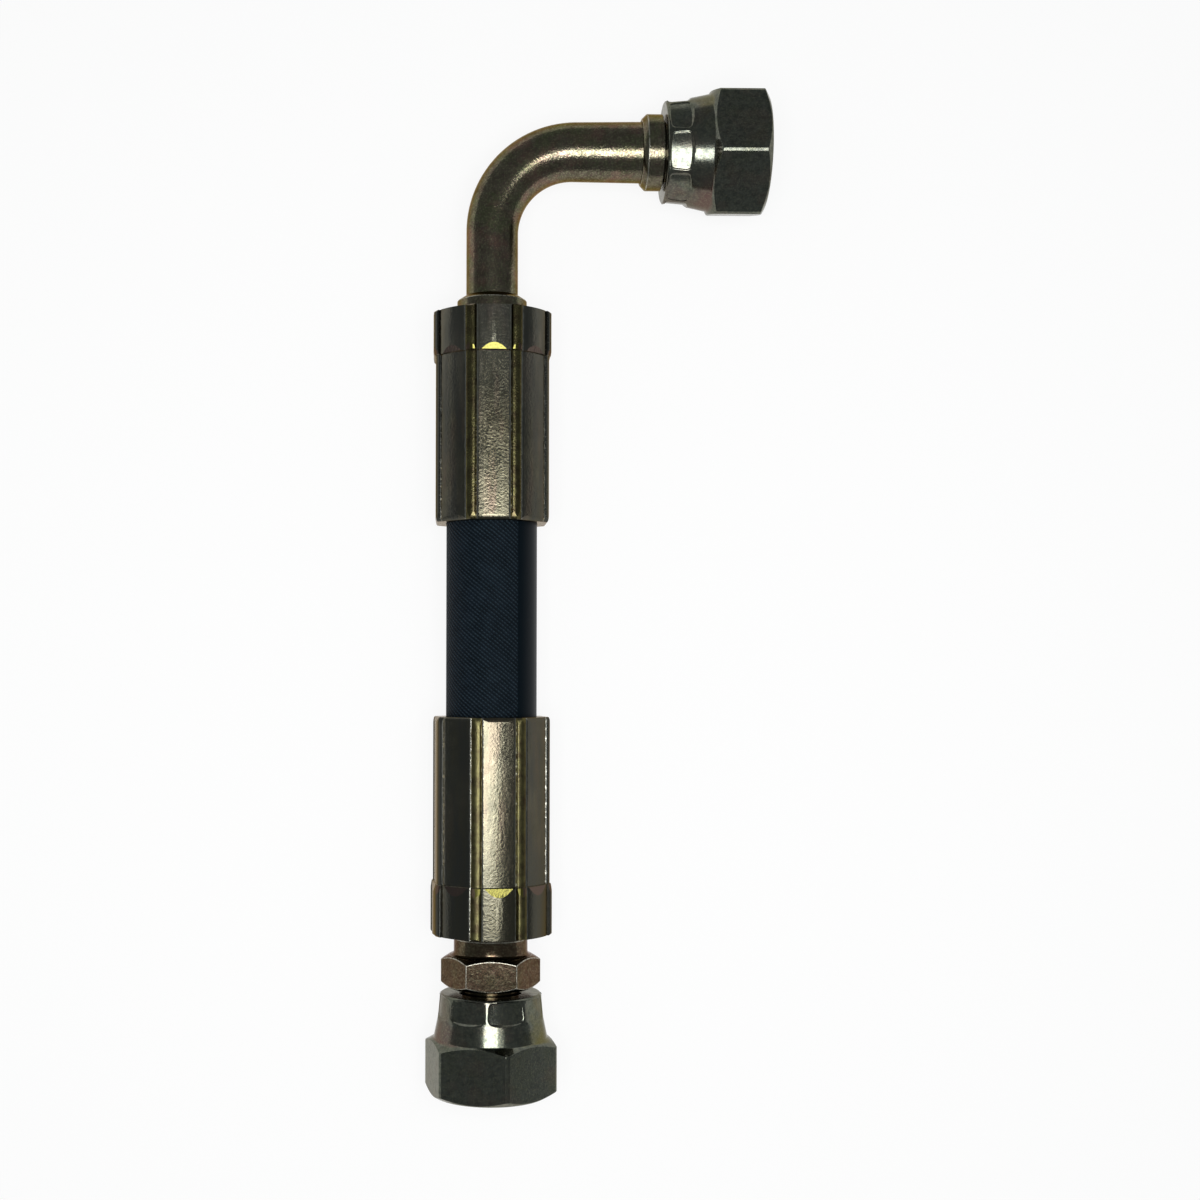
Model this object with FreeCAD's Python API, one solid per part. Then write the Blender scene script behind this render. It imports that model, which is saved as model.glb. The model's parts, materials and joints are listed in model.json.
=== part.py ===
import FreeCAD, Part
import math
import os

# Short hydraulic hose assembly. The hose lies along Y, the origin is the tip of the
# straight end's sealing cone, and the elbow's outlet points along +X.
# All sizes are in millimetres and all angles in degrees.

# Layout
ASSEMBLY_LENGTH = 140.0         # straight cone tip to the axis of the elbow's outlet
STRAIGHT_NOSE_LENGTH = 22.2     # straight cone tip to its ferrule
ELBOW_REACH = 39.1              # hose axis to the elbow's cone tip
ELBOW_DROP = 24.9               # outlet axis down to the elbow's ferrule
SWIVEL_CLEARANCE = 0.3          # running gap between a swivel nut and its stem

# Hose: rubber tube, wire braid, rubber, wire braid, rubber cover
HOSE_BORE = 6.4
INNER_TUBE_WALL = 1.1
INNER_BRAID_WALL = 0.5
INTERLAYER_WALL = 0.25
OUTER_BRAID_WALL = 0.5
COVER_WALL = 1.25

# Crimped ferrules, octagonal outside and toothed inside
STRAIGHT_FERRULE_LENGTH = 32.5
ELBOW_FERRULE_LENGTH = 31.4
CRIMP_SEGMENTS = 8
BODY_ACROSS_FLATS = 16.9
BODY_LAND_DIAMETER = 18.05
SHOULDER_ACROSS_FLATS = 17.65
SHOULDER_LAND_DIAMETER = 18.75
STRAIGHT_SHOULDER_LENGTH = 6.3
ELBOW_SHOULDER_LENGTH = 5.6
STEP_LENGTH = 0.9               # slope that the end of the crimping dies leaves
LAND_WIDTH = 1.25               # ridge left standing between two crimp segments
LAND_SIDE_WIDTH = 0.12          # each steep side of a land
BODY_CROWN_RADIUS = 40.0        # the body's flats are hardly domed
SHOULDER_CROWN_RADIUS = 9.5     # the shoulder's are nearly as round as it is
STRAIGHT_CRIMP_TURN = 7.0       # facing flat, turned from +Z towards +X
ELBOW_CRIMP_TURN = 0.0
LIP_ROUNDING = 0.9
FACE_CHAMFER = 0.25
END_WALL = 3.8
BITE_DIAMETER = 12.6            # crest of the inner teeth, pressed into the hose
TOOTH_DEPTH = 0.4
TOOTH_PITCH = 3.4
TOOTH_CREST = 1.1
FLARE_DEPTH = 3.0               # the hose is squeezed up to this far inside the mouth
FLARE_LENGTH = 2.2              # and swells to its full size over this length
MOUTH_ROOM = 0.12               # gap round the hose where it leaves the ferrule

# Insert tails, the same at both ends
FLOW_BORE = 4.4
LOCK_GROOVE_DIAMETER = 7.2
LOCK_COLLAR_DIAMETER = 8.4
LOCK_COLLAR_LENGTH = 1.2
HOSE_END_GAP = 0.4
TAIL_SETBACK = 2.4              # the tail ends this far inside the ferrule's mouth
BARB_PITCH = 3.2
BARB_DEPTH = 0.4
BARB_RAMP = 1.9
TAIL_END_CHAMFER = 0.7

# Sealing noses: 24 degree cone with an O-ring, and the flange that holds the nut
CONE_HALF_ANGLE = 12.0
CONE_TIP_DIAMETER = 7.8
CONE_LARGE_DIAMETER = 9.9
CONE_TIP_CHAMFER = 0.3
CONE_BACK_LENGTH = 0.7
O_RING_SECTION = 1.5
O_RING_GROOVE_DIAMETER = 6.2
O_RING_GROOVE_WIDTH = 1.9
O_RING_STATION = 2.1
FLANGE_DIAMETER = 11.7
FLANGE_LENGTH = 2.6
NECK_DIAMETER = 8.6
BORE_MOUTH_CHAMFER = 0.4

# Straight stem behind the nut
HEX_STATION = 14.1
HEX_LENGTH = 4.9
HEX_ACROSS_FLATS = 13.0
STEM_NECK_DIAMETER = 11.1
STEM_RING_DIAMETER = 11.6
STEM_RING_LENGTH = 0.75
STEM_FILLET = 0.6

# Elbow
BEND_RADIUS = 12.4
TUBE_BORE = 5.0
TUBE_TAIL_DIAMETER = 7.8
TUBE_BEND_END_DIAMETER = 8.7    # the tube swells in the bend and on towards the head
TUBE_HEAD_DIAMETER = 9.0
SOCKET_DEPTH = 1.6
TAIL_RING_DIAMETER = 10.5
TAIL_RING_LENGTH = 2.7
TAIL_RING_CHAMFER = 1.2
HEAD_RING_DIAMETER = 11.2
HEAD_RING_LENGTH = 3.1
HEAD_RING_CHAMFER = 0.75

# Swivel nuts, M14 x 1.5, the same at both ends
NUT_LENGTH = 15.3
NUT_OVERHANG = 2.0              # front face ahead of the cone tip
NUT_ACROSS_FLATS = 18.0
NUT_HEX_LENGTH = 8.6
NUT_COLLAR_DIAMETER = 15.8
NUT_CONE_LENGTH = 3.2
NUT_THREAD_BORE = 14.1
NUT_THREAD_DEPTH = 7.4
NUT_ENTRY_CHAMFER = 0.6
PAD_COUNT = 8
PAD_LENGTH = 3.1
PAD_DEPTH = 0.3
PAD_GAP = 0.7                   # ridge between two crimp pads, across
PAD_CORNER = 0.55
PAD_RIM = 0.25                  # rim left behind the pads
STRAIGHT_NUT_CORNER = 13.0      # hex corner, turned from +Z towards +X
STRAIGHT_NUT_PAD_TURN = 17.0
ELBOW_NUT_CORNER = -12.5        # hex corner, turned from +Z towards +Y
ELBOW_NUT_PAD_TURN = 2.0
HEX_CHAMFER_ANGLE = 30.0
HEX_FACE_SHARE = 0.95           # face circle of a hexagon as a share of its flats
CUT_MARGIN = 1.0                # how far a cut runs past the face that it opens

# Sizes that follow
X_AXIS = FreeCAD.Vector(1, 0, 0)
Y_AXIS = FreeCAD.Vector(0, 1, 0)
ORIGIN = FreeCAD.Vector(0, 0, 0)
HOSE_WALLS = (INNER_TUBE_WALL, INNER_BRAID_WALL, INTERLAYER_WALL, OUTER_BRAID_WALL, COVER_WALL)
HOSE_RADIUS = HOSE_BORE / 2 + sum(HOSE_WALLS)
TAIL_RADIUS = HOSE_BORE / 2
BITE_RADIUS = BITE_DIAMETER / 2
CONE_SLOPE = math.tan(math.radians(CONE_HALF_ANGLE))
CONE_LENGTH = (CONE_LARGE_DIAMETER - CONE_TIP_DIAMETER) / 2 / CONE_SLOPE
FLANGE_START = CONE_LENGTH + CONE_BACK_LENGTH
FLANGE_FRONT = FLANGE_START + (FLANGE_DIAMETER - CONE_LARGE_DIAMETER) / 2
FLANGE_BACK = FLANGE_FRONT + FLANGE_LENGTH
NECK_START = FLANGE_BACK + (FLANGE_DIAMETER - NECK_DIAMETER) / 2
NUT_BACK = NUT_LENGTH - NUT_OVERHANG
HEAD_RING_START = NUT_BACK + SWIVEL_CLEARANCE
HEAD_RING_END = HEAD_RING_START + HEAD_RING_LENGTH
ELBOW_FACE = ASSEMBLY_LENGTH - ELBOW_DROP
HOSE_INSET = END_WALL + LOCK_COLLAR_LENGTH + HOSE_END_GAP


def turned(outline):
    """Solid of revolution about Y from (station, radius) points."""
    points = [FreeCAD.Vector(radius, station, 0) for station, radius in outline]
    face = Part.Face(Part.makePolygon(points + points[:1]))
    return face.revolve(ORIGIN, Y_AXIS, 360)


def shifted(outline, start, direction):
    """Outline moved to a start along Y and run up (+1) or down (-1) the axis."""
    return [(start + direction * station, radius) for station, radius in outline]


def rounded_end(end, radius, rounding, steps=4):
    """Points of a quarter round that takes a turned edge off at an end face."""
    angles = [math.radians(90 * k / steps) for k in range(steps + 1)]
    return [(end - rounding * (1 - math.sin(a)), radius - rounding * (1 - math.cos(a)))
            for a in angles]


def polar(radius, angle, station):
    """Point round the Y axis, with the angle turned from +Z towards +X."""
    turn = math.radians(angle)
    return FreeCAD.Vector(radius * math.sin(turn), station, radius * math.cos(turn))


def regular_wire(sides, across_flats, corner_angle, station):
    """Regular polygon round the Y axis with one corner at the angle given."""
    corner_radius = across_flats / 2 / math.cos(math.pi / sides)
    corners = [polar(corner_radius, corner_angle + 360 / sides * k, station)
               for k in range(sides)]
    return Part.makePolygon(corners + corners[:1])


def chamfered_hex(across_flats, start, length, corner_angle):
    """Hexagon whose corners are turned away at both ends, as on a bright nut."""
    face_radius = across_flats / 2 * HEX_FACE_SHARE
    blank_radius = across_flats / 2 / math.cos(math.radians(30)) + CUT_MARGIN
    depth = (blank_radius - face_radius) * math.tan(math.radians(HEX_CHAMFER_ANGLE))
    end = start + length
    blank = turned([
        (start, 0),
        (start, face_radius),
        (start + depth, blank_radius),
        (end - depth, blank_radius),
        (end, face_radius),
        (end, 0),
    ])
    bar = Part.Face(regular_wire(6, across_flats, corner_angle, start))
    return bar.extrude(FreeCAD.Vector(0, length, 0)).common(blank)


def cone_radius(station):
    return CONE_TIP_DIAMETER / 2 + station * CONE_SLOPE


def nose_outline():
    """Outside of a sealing nose from its tip to the neck behind the flange."""
    groove_start = O_RING_STATION - O_RING_GROOVE_WIDTH / 2
    groove_end = O_RING_STATION + O_RING_GROOVE_WIDTH / 2
    groove_radius = O_RING_GROOVE_DIAMETER / 2
    return [
        (0, cone_radius(0) - CONE_TIP_CHAMFER),
        (CONE_TIP_CHAMFER, cone_radius(CONE_TIP_CHAMFER)),
        (groove_start, cone_radius(groove_start)),
        (groove_start, groove_radius),
        (groove_end, groove_radius),
        (groove_end, cone_radius(groove_end)),
        (CONE_LENGTH, CONE_LARGE_DIAMETER / 2),
        (FLANGE_START, CONE_LARGE_DIAMETER / 2),
        (FLANGE_FRONT, FLANGE_DIAMETER / 2),
        (FLANGE_BACK, FLANGE_DIAMETER / 2),
        (NECK_START, NECK_DIAMETER / 2),
    ]


def tail_outline(ferrule_length):
    """Outside of an insert tail, counted from the ferrule's face into the hose."""
    tail_end = ferrule_length - TAIL_SETBACK
    outline = [
        (0, LOCK_GROOVE_DIAMETER / 2),
        (END_WALL, LOCK_GROOVE_DIAMETER / 2),
        (END_WALL, LOCK_COLLAR_DIAMETER / 2),
        (END_WALL + LOCK_COLLAR_LENGTH, LOCK_COLLAR_DIAMETER / 2),
        (END_WALL + LOCK_COLLAR_LENGTH, TAIL_RADIUS),
    ]
    first_barb = HOSE_INSET + BARB_PITCH
    barb_count = int((tail_end - TAIL_END_CHAMFER - first_barb) / BARB_PITCH)
    for k in range(barb_count):
        station = first_barb + k * BARB_PITCH
        outline.append((station, TAIL_RADIUS))
        outline.append((station, TAIL_RADIUS - BARB_DEPTH))
        outline.append((station + BARB_RAMP, TAIL_RADIUS))
    outline.append((tail_end - TAIL_END_CHAMFER, TAIL_RADIUS))
    outline.append((tail_end, TAIL_RADIUS - TAIL_END_CHAMFER / 2))
    return outline


def straight_stem():
    """Nose, neck, spanner hex and barbed tail turned from one bar."""
    ring_start = STRAIGHT_NOSE_LENGTH - STEM_RING_LENGTH
    hex_end = HEX_STATION + HEX_LENGTH
    tail = shifted(tail_outline(STRAIGHT_FERRULE_LENGTH), STRAIGHT_NOSE_LENGTH, 1)
    outline = nose_outline() + [
        (HEX_STATION, NECK_DIAMETER / 2),
        (HEX_STATION, STEM_NECK_DIAMETER / 2),
        (hex_end, STEM_NECK_DIAMETER / 2 + STEM_FILLET),
        (hex_end + STEM_FILLET, STEM_NECK_DIAMETER / 2),
        (ring_start, STEM_NECK_DIAMETER / 2),
        (ring_start, STEM_RING_DIAMETER / 2),
        (STRAIGHT_NOSE_LENGTH, STEM_RING_DIAMETER / 2),
    ] + tail
    outline += [
        (tail[-1][0], FLOW_BORE / 2),
        (BORE_MOUTH_CHAMFER, FLOW_BORE / 2),
        (0, FLOW_BORE / 2 + BORE_MOUTH_CHAMFER),
    ]
    spanner_hex = chamfered_hex(HEX_ACROSS_FLATS, HEX_STATION, HEX_LENGTH, 30)
    bore = Part.makeCylinder(
        FLOW_BORE / 2, HEX_LENGTH, FreeCAD.Vector(0, HEX_STATION, 0), Y_AXIS)
    return turned(outline).fuse(spanner_hex.cut(bore))


def crimp_section(station, across_flats, land_diameter, crown_radius, turn):
    """Outline round a crimped ferrule: domed flats with a land between each pair."""
    pitch = 360 / CRIMP_SEGMENTS
    land_radius = land_diameter / 2
    land_half = math.degrees(math.asin(LAND_WIDTH / 2 / land_radius))
    flat_radius = across_flats / 2
    flat_half = math.sin(math.radians(pitch / 2 - land_half)) * land_radius - LAND_SIDE_WIDTH
    crown_drop = crown_radius - math.sqrt(crown_radius**2 - flat_half**2)
    edge_radius = math.hypot(flat_radius - crown_drop, flat_half)
    edge_angle = math.degrees(math.atan2(flat_half, flat_radius - crown_drop))
    edges = []
    for k in range(CRIMP_SEGMENTS):
        middle = turn + k * pitch
        flat_start = polar(edge_radius, middle - edge_angle, station)
        flat_top = polar(flat_radius, middle, station)
        flat_end = polar(edge_radius, middle + edge_angle, station)
        land_start = polar(land_radius, middle + pitch / 2 - land_half, station)
        land_top = polar(land_radius, middle + pitch / 2, station)
        land_end = polar(land_radius, middle + pitch / 2 + land_half, station)
        next_flat = polar(edge_radius, middle + pitch - edge_angle, station)
        edges.append(Part.Arc(flat_start, flat_top, flat_end).toShape())
        edges.append(Part.LineSegment(flat_end, land_start).toShape())
        edges.append(Part.Arc(land_start, land_top, land_end).toShape())
        edges.append(Part.LineSegment(land_end, next_flat).toShape())
    return Part.Wire(edges)


def ferrule_inside(length):
    """Bore of a ferrule from its face to its mouth: locked end wall, teeth and flare."""
    root_radius = BITE_RADIUS + TOOTH_DEPTH
    flare_start = length - FLARE_DEPTH - MOUTH_ROOM
    outline = [
        (-CUT_MARGIN, LOCK_GROOVE_DIAMETER / 2),
        (END_WALL, LOCK_GROOVE_DIAMETER / 2),
        (END_WALL, root_radius),
    ]
    tooth_length = TOOTH_DEPTH + TOOTH_CREST
    tooth_count = int((flare_start - tooth_length - HOSE_INSET) / TOOTH_PITCH)
    for k in range(tooth_count):
        station = HOSE_INSET + (k + 1) * TOOTH_PITCH - tooth_length
        outline.append((station, root_radius))
        outline.append((station + TOOTH_DEPTH, BITE_RADIUS))
        outline.append((station + tooth_length, BITE_RADIUS))
        outline.append((station + tooth_length, root_radius))
    outline += [
        (flare_start - tooth_length, root_radius),
        (flare_start - TOOTH_CREST, BITE_RADIUS),
        (flare_start, BITE_RADIUS),
        (flare_start + FLARE_LENGTH, HOSE_RADIUS + MOUTH_ROOM),
        (length + CUT_MARGIN, HOSE_RADIUS + MOUTH_ROOM),
        (length + CUT_MARGIN, 0),
        (-CUT_MARGIN, 0),
    ]
    return outline


def ferrule(face, direction, length, shoulder, turn):
    """Crimped ferrule from its face at the fitting to its rounded mouth on the hose."""
    step_start = face + direction * shoulder
    step_end = step_start + direction * STEP_LENGTH
    mouth = face + direction * length
    land_radius = BODY_LAND_DIAMETER / 2
    shoulder_radius = SHOULDER_LAND_DIAMETER / 2
    along = FreeCAD.Vector(0, direction, 0)

    shoulder_face = Part.Face(crimp_section(
        face, SHOULDER_ACROSS_FLATS, SHOULDER_LAND_DIAMETER, SHOULDER_CROWN_RADIUS, turn))
    shoulder_block = shoulder_face.extrude(along * (shoulder + STEP_LENGTH))
    corner = turn + 180 / CRIMP_SEGMENTS
    die_end = Part.makeLoft([
        regular_wire(CRIMP_SEGMENTS, SHOULDER_ACROSS_FLATS, corner, face),
        regular_wire(CRIMP_SEGMENTS, SHOULDER_ACROSS_FLATS, corner, step_start),
        regular_wire(CRIMP_SEGMENTS, BODY_ACROSS_FLATS, corner, step_end),
    ], True, True)
    turned_end = turned(shifted([
        (0, 0),
        (0, shoulder_radius - FACE_CHAMFER),
        (FACE_CHAMFER, shoulder_radius),
        (shoulder, shoulder_radius),
        (shoulder + STEP_LENGTH, land_radius),
        (shoulder + STEP_LENGTH, 0),
    ], face, direction))
    shoulder_block = shoulder_block.common(die_end).common(turned_end)

    body_face = Part.Face(crimp_section(
        step_end, BODY_ACROSS_FLATS, BODY_LAND_DIAMETER, BODY_CROWN_RADIUS, turn))
    lip = turned(shifted(
        [(0, 0), (0, land_radius + CUT_MARGIN),
         (length - LIP_ROUNDING, land_radius + CUT_MARGIN)]
        + rounded_end(length, land_radius, LIP_ROUNDING)
        + [(length, 0)], face, direction))
    body_block = body_face.extrude(FreeCAD.Vector(0, mouth - step_end, 0)).common(lip)

    inside = turned(shifted(ferrule_inside(length), face, direction))
    return shoulder_block.fuse(body_block).cut(inside)


def crimped(radius):
    """Radius of a hose layer where the ferrule squeezes the wall onto the tail."""
    squeeze = (BITE_RADIUS - TAIL_RADIUS) / (HOSE_RADIUS - TAIL_RADIUS)
    return TAIL_RADIUS + (radius - TAIL_RADIUS) * squeeze


def hose_layer(inner, outer):
    """One layer of the hose, squeezed in both ferrules and free between them."""
    straight_mouth = STRAIGHT_NOSE_LENGTH + STRAIGHT_FERRULE_LENGTH
    elbow_mouth = ELBOW_FACE - ELBOW_FERRULE_LENGTH
    run = [
        (STRAIGHT_NOSE_LENGTH + HOSE_INSET, True),
        (straight_mouth - FLARE_DEPTH, True),
        (straight_mouth - FLARE_DEPTH + FLARE_LENGTH, False),
        (elbow_mouth + FLARE_DEPTH - FLARE_LENGTH, False),
        (elbow_mouth + FLARE_DEPTH, True),
        (ELBOW_FACE - HOSE_INSET, True),
    ]
    outside = [(y, crimped(outer) if tight else outer) for y, tight in run]
    inside = [(y, crimped(inner) if tight else inner) for y, tight in run]
    return turned(outside + inside[::-1])


def nut_inside():
    """Bore of a swivel nut: thread, room for the flange and the crimped-in lip."""
    thread_radius = NUT_THREAD_BORE / 2
    room_radius = FLANGE_DIAMETER / 2 + SWIVEL_CLEARANCE
    lip_radius = NECK_DIAMETER / 2 + SWIVEL_CLEARANCE
    thread_end = NUT_THREAD_DEPTH - NUT_OVERHANG
    room_end = FLANGE_BACK + SWIVEL_CLEARANCE * math.tan(math.radians(22.5))
    return [
        (-NUT_OVERHANG - CUT_MARGIN, 0),
        (-NUT_OVERHANG - CUT_MARGIN, thread_radius + NUT_ENTRY_CHAMFER + CUT_MARGIN),
        (-NUT_OVERHANG + NUT_ENTRY_CHAMFER, thread_radius),
        (thread_end, thread_radius),
        (thread_end + thread_radius - room_radius, room_radius),
        (room_end, room_radius),
        (room_end + room_radius - lip_radius, lip_radius),
        (NUT_BACK - SWIVEL_CLEARANCE, lip_radius),
        (NUT_BACK + CUT_MARGIN, lip_radius + SWIVEL_CLEARANCE + CUT_MARGIN),
        (NUT_BACK + CUT_MARGIN, 0),
    ]


def crimp_pad(angle):
    """Tool that presses one round-cornered pad into the nut's collar."""
    floor = NUT_COLLAR_DIAMETER / 2 - PAD_DEPTH
    top = NUT_COLLAR_DIAMETER / 2 + CUT_MARGIN
    end = NUT_BACK - PAD_RIM
    start = end - PAD_LENGTH
    width = 360 / PAD_COUNT - math.degrees(PAD_GAP / floor)
    first = angle - width / 2
    corners = [polar(floor, first, start), polar(floor, first, end),
               polar(top, first, end), polar(top, first, start)]
    block = Part.Face(Part.makePolygon(corners + corners[:1])).revolve(ORIGIN, Y_AXIS, width)
    radial = [edge for edge in block.Edges if abs(edge.Length - (top - floor)) < 1e-6]
    return block.makeFillet(PAD_CORNER, radial)


def swivel_nut(corner_angle, pad_turn):
    """Hexagon nut whose collar is crimped in behind the flange by eight pads."""
    hexagon = chamfered_hex(NUT_ACROSS_FLATS, -NUT_OVERHANG, NUT_HEX_LENGTH, corner_angle)
    shoulder_radius = NUT_ACROSS_FLATS / 2 * HEX_FACE_SHARE
    cone_start = NUT_HEX_LENGTH - NUT_OVERHANG
    collar = turned([
        (0, 0),
        (0, shoulder_radius),
        (cone_start, shoulder_radius),
        (cone_start + NUT_CONE_LENGTH, NUT_COLLAR_DIAMETER / 2),
        (NUT_BACK - PAD_RIM, NUT_COLLAR_DIAMETER / 2),
        (NUT_BACK, NUT_COLLAR_DIAMETER / 2 - PAD_RIM),
        (NUT_BACK, 0),
    ])
    pads = [crimp_pad(pad_turn + k * 360 / PAD_COUNT) for k in range(PAD_COUNT)]
    return hexagon.fuse(collar).cut(Part.makeCompound(pads)).cut(turned(nut_inside()))


def cone_o_ring():
    centre_radius = O_RING_GROOVE_DIAMETER / 2 + O_RING_SECTION / 2
    middle = FreeCAD.Vector(0, O_RING_STATION, 0)
    return Part.makeTorus(centre_radius, O_RING_SECTION / 2, middle, Y_AXIS)


def at_elbow(shape):
    """Turns a piece from the straight end's axis onto the elbow's outlet."""
    place = FreeCAD.Placement(
        FreeCAD.Vector(ELBOW_REACH, ASSEMBLY_LENGTH, 0),
        FreeCAD.Rotation(FreeCAD.Vector(0, 0, 1), 90))
    moved = shape.copy()
    moved.Placement = place
    return moved


def elbow_stem():
    """Barbed tail with the collar ring that the bent tube is brazed into."""
    ring_end = -TAIL_RING_LENGTH
    socket_floor = ring_end + SOCKET_DEPTH
    tail = tail_outline(ELBOW_FERRULE_LENGTH)
    outline = [
        (ring_end, TUBE_TAIL_DIAMETER / 2),
        (ring_end, TAIL_RING_DIAMETER / 2 - TAIL_RING_CHAMFER),
        (ring_end + TAIL_RING_CHAMFER, TAIL_RING_DIAMETER / 2),
        (0, TAIL_RING_DIAMETER / 2),
    ] + tail + [
        (tail[-1][0], FLOW_BORE / 2),
        (socket_floor, FLOW_BORE / 2),
        (socket_floor, TUBE_TAIL_DIAMETER / 2),
    ]
    return turned(shifted(outline, ELBOW_FACE, -1))


def elbow_cone_head():
    """Sealing nose with the collar ring that takes the tube's other end."""
    socket_floor = HEAD_RING_END - SOCKET_DEPTH
    outline = nose_outline() + [
        (HEAD_RING_START, NECK_DIAMETER / 2),
        (HEAD_RING_START, HEAD_RING_DIAMETER / 2),
        (HEAD_RING_END - HEAD_RING_CHAMFER, HEAD_RING_DIAMETER / 2),
        (HEAD_RING_END, HEAD_RING_DIAMETER / 2 - HEAD_RING_CHAMFER),
        (HEAD_RING_END, TUBE_HEAD_DIAMETER / 2),
        (socket_floor, TUBE_HEAD_DIAMETER / 2),
        (socket_floor, FLOW_BORE / 2),
        (BORE_MOUTH_CHAMFER, FLOW_BORE / 2),
        (0, FLOW_BORE / 2 + BORE_MOUTH_CHAMFER),
    ]
    return at_elbow(turned(outline))


def disc(diameter, centre, normal):
    return Part.Face(Part.Wire(Part.makeCircle(diameter / 2, centre, normal)))


def elbow_tube():
    """Bent tube, slimmer at the tail and swelling towards the head."""
    tail_end = FreeCAD.Vector(0, ELBOW_FACE + TAIL_RING_LENGTH - SOCKET_DEPTH, 0)
    turn_in = FreeCAD.Vector(0, ASSEMBLY_LENGTH - BEND_RADIUS, 0)
    turn_out = FreeCAD.Vector(BEND_RADIUS, ASSEMBLY_LENGTH, 0)
    centre = FreeCAD.Vector(BEND_RADIUS, ASSEMBLY_LENGTH - BEND_RADIUS, 0)
    inset = BEND_RADIUS * (1 - math.sqrt(0.5))
    middle = FreeCAD.Vector(inset, ASSEMBLY_LENGTH - inset, 0)
    head_face = FreeCAD.Vector(ELBOW_REACH - HEAD_RING_END, ASSEMBLY_LENGTH, 0)
    leg_length = turn_in.y - tail_end.y
    arm_length = head_face.x - turn_out.x

    leg = Part.makeCylinder(TUBE_TAIL_DIAMETER / 2, leg_length, tail_end, Y_AXIS)
    bend = Part.BRepOffsetAPI.MakePipeShell(
        Part.Wire(Part.Arc(turn_in, middle, turn_out).toShape()))
    bend.add(disc(TUBE_TAIL_DIAMETER, turn_in, Y_AXIS).OuterWire)
    bend.add(disc(TUBE_BEND_END_DIAMETER, turn_out, X_AXIS).OuterWire)
    bend.build()
    bend.makeSolid()
    arm = Part.makeCone(
        TUBE_BEND_END_DIAMETER / 2, TUBE_HEAD_DIAMETER / 2, arm_length, turn_out, X_AXIS)
    spigot = Part.makeCylinder(TUBE_HEAD_DIAMETER / 2, SOCKET_DEPTH, head_face, X_AXIS)
    outside = leg.fuse(bend.shape()).fuse(arm).fuse(spigot)

    leg_bore = Part.makeCylinder(TUBE_BORE / 2, leg_length, tail_end, Y_AXIS)
    bend_bore = disc(TUBE_BORE, turn_in, Y_AXIS).revolve(centre, FreeCAD.Vector(0, 0, -1), 90)
    arm_bore = Part.makeCylinder(TUBE_BORE / 2, arm_length + SOCKET_DEPTH, turn_out, X_AXIS)
    return outside.cut(leg_bore.fuse(bend_bore).fuse(arm_bore))


def write(name, shape):
    """Writes one piece as a STEP file and prints what it came to."""
    solid = shape.Solids[0] if len(shape.Solids) == 1 else shape
    if not solid.isValid() or solid.Volume <= 0:
        raise ValueError(name + " is not a sound solid")
    solid.exportStep("parts/" + name + ".step")
    print(name, len(shape.Solids), round(solid.Volume, 1))


os.makedirs("parts", exist_ok=True)
write("straight_stem", straight_stem())
write("straight_ferrule", ferrule(
    STRAIGHT_NOSE_LENGTH, 1, STRAIGHT_FERRULE_LENGTH, STRAIGHT_SHOULDER_LENGTH,
    STRAIGHT_CRIMP_TURN))
write("elbow_ferrule", ferrule(
    ELBOW_FACE, -1, ELBOW_FERRULE_LENGTH, ELBOW_SHOULDER_LENGTH, ELBOW_CRIMP_TURN))
write("straight_swivel_nut", swivel_nut(STRAIGHT_NUT_CORNER, STRAIGHT_NUT_PAD_TURN))
write("elbow_swivel_nut", at_elbow(swivel_nut(ELBOW_NUT_CORNER, ELBOW_NUT_PAD_TURN)))
write("straight_cone_o_ring", cone_o_ring())
write("elbow_cone_o_ring", at_elbow(cone_o_ring()))
write("elbow_stem", elbow_stem())
write("elbow_cone_head", elbow_cone_head())
write("elbow_tube", elbow_tube())

layer_names = ("hose_inner_tube", "hose_inner_braid", "hose_interlayer",
               "hose_outer_braid", "hose_cover")
inner_radius = HOSE_BORE / 2
for layer_name, wall in zip(layer_names, HOSE_WALLS):
    write(layer_name, hose_layer(inner_radius, inner_radius + wall))
    inner_radius += wall
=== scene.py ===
import json
import math
from functools import partial

import bpy
from bpy.props import FloatProperty, FloatVectorProperty, IntProperty, PointerProperty
from mathutils import Matrix, Vector


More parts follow.
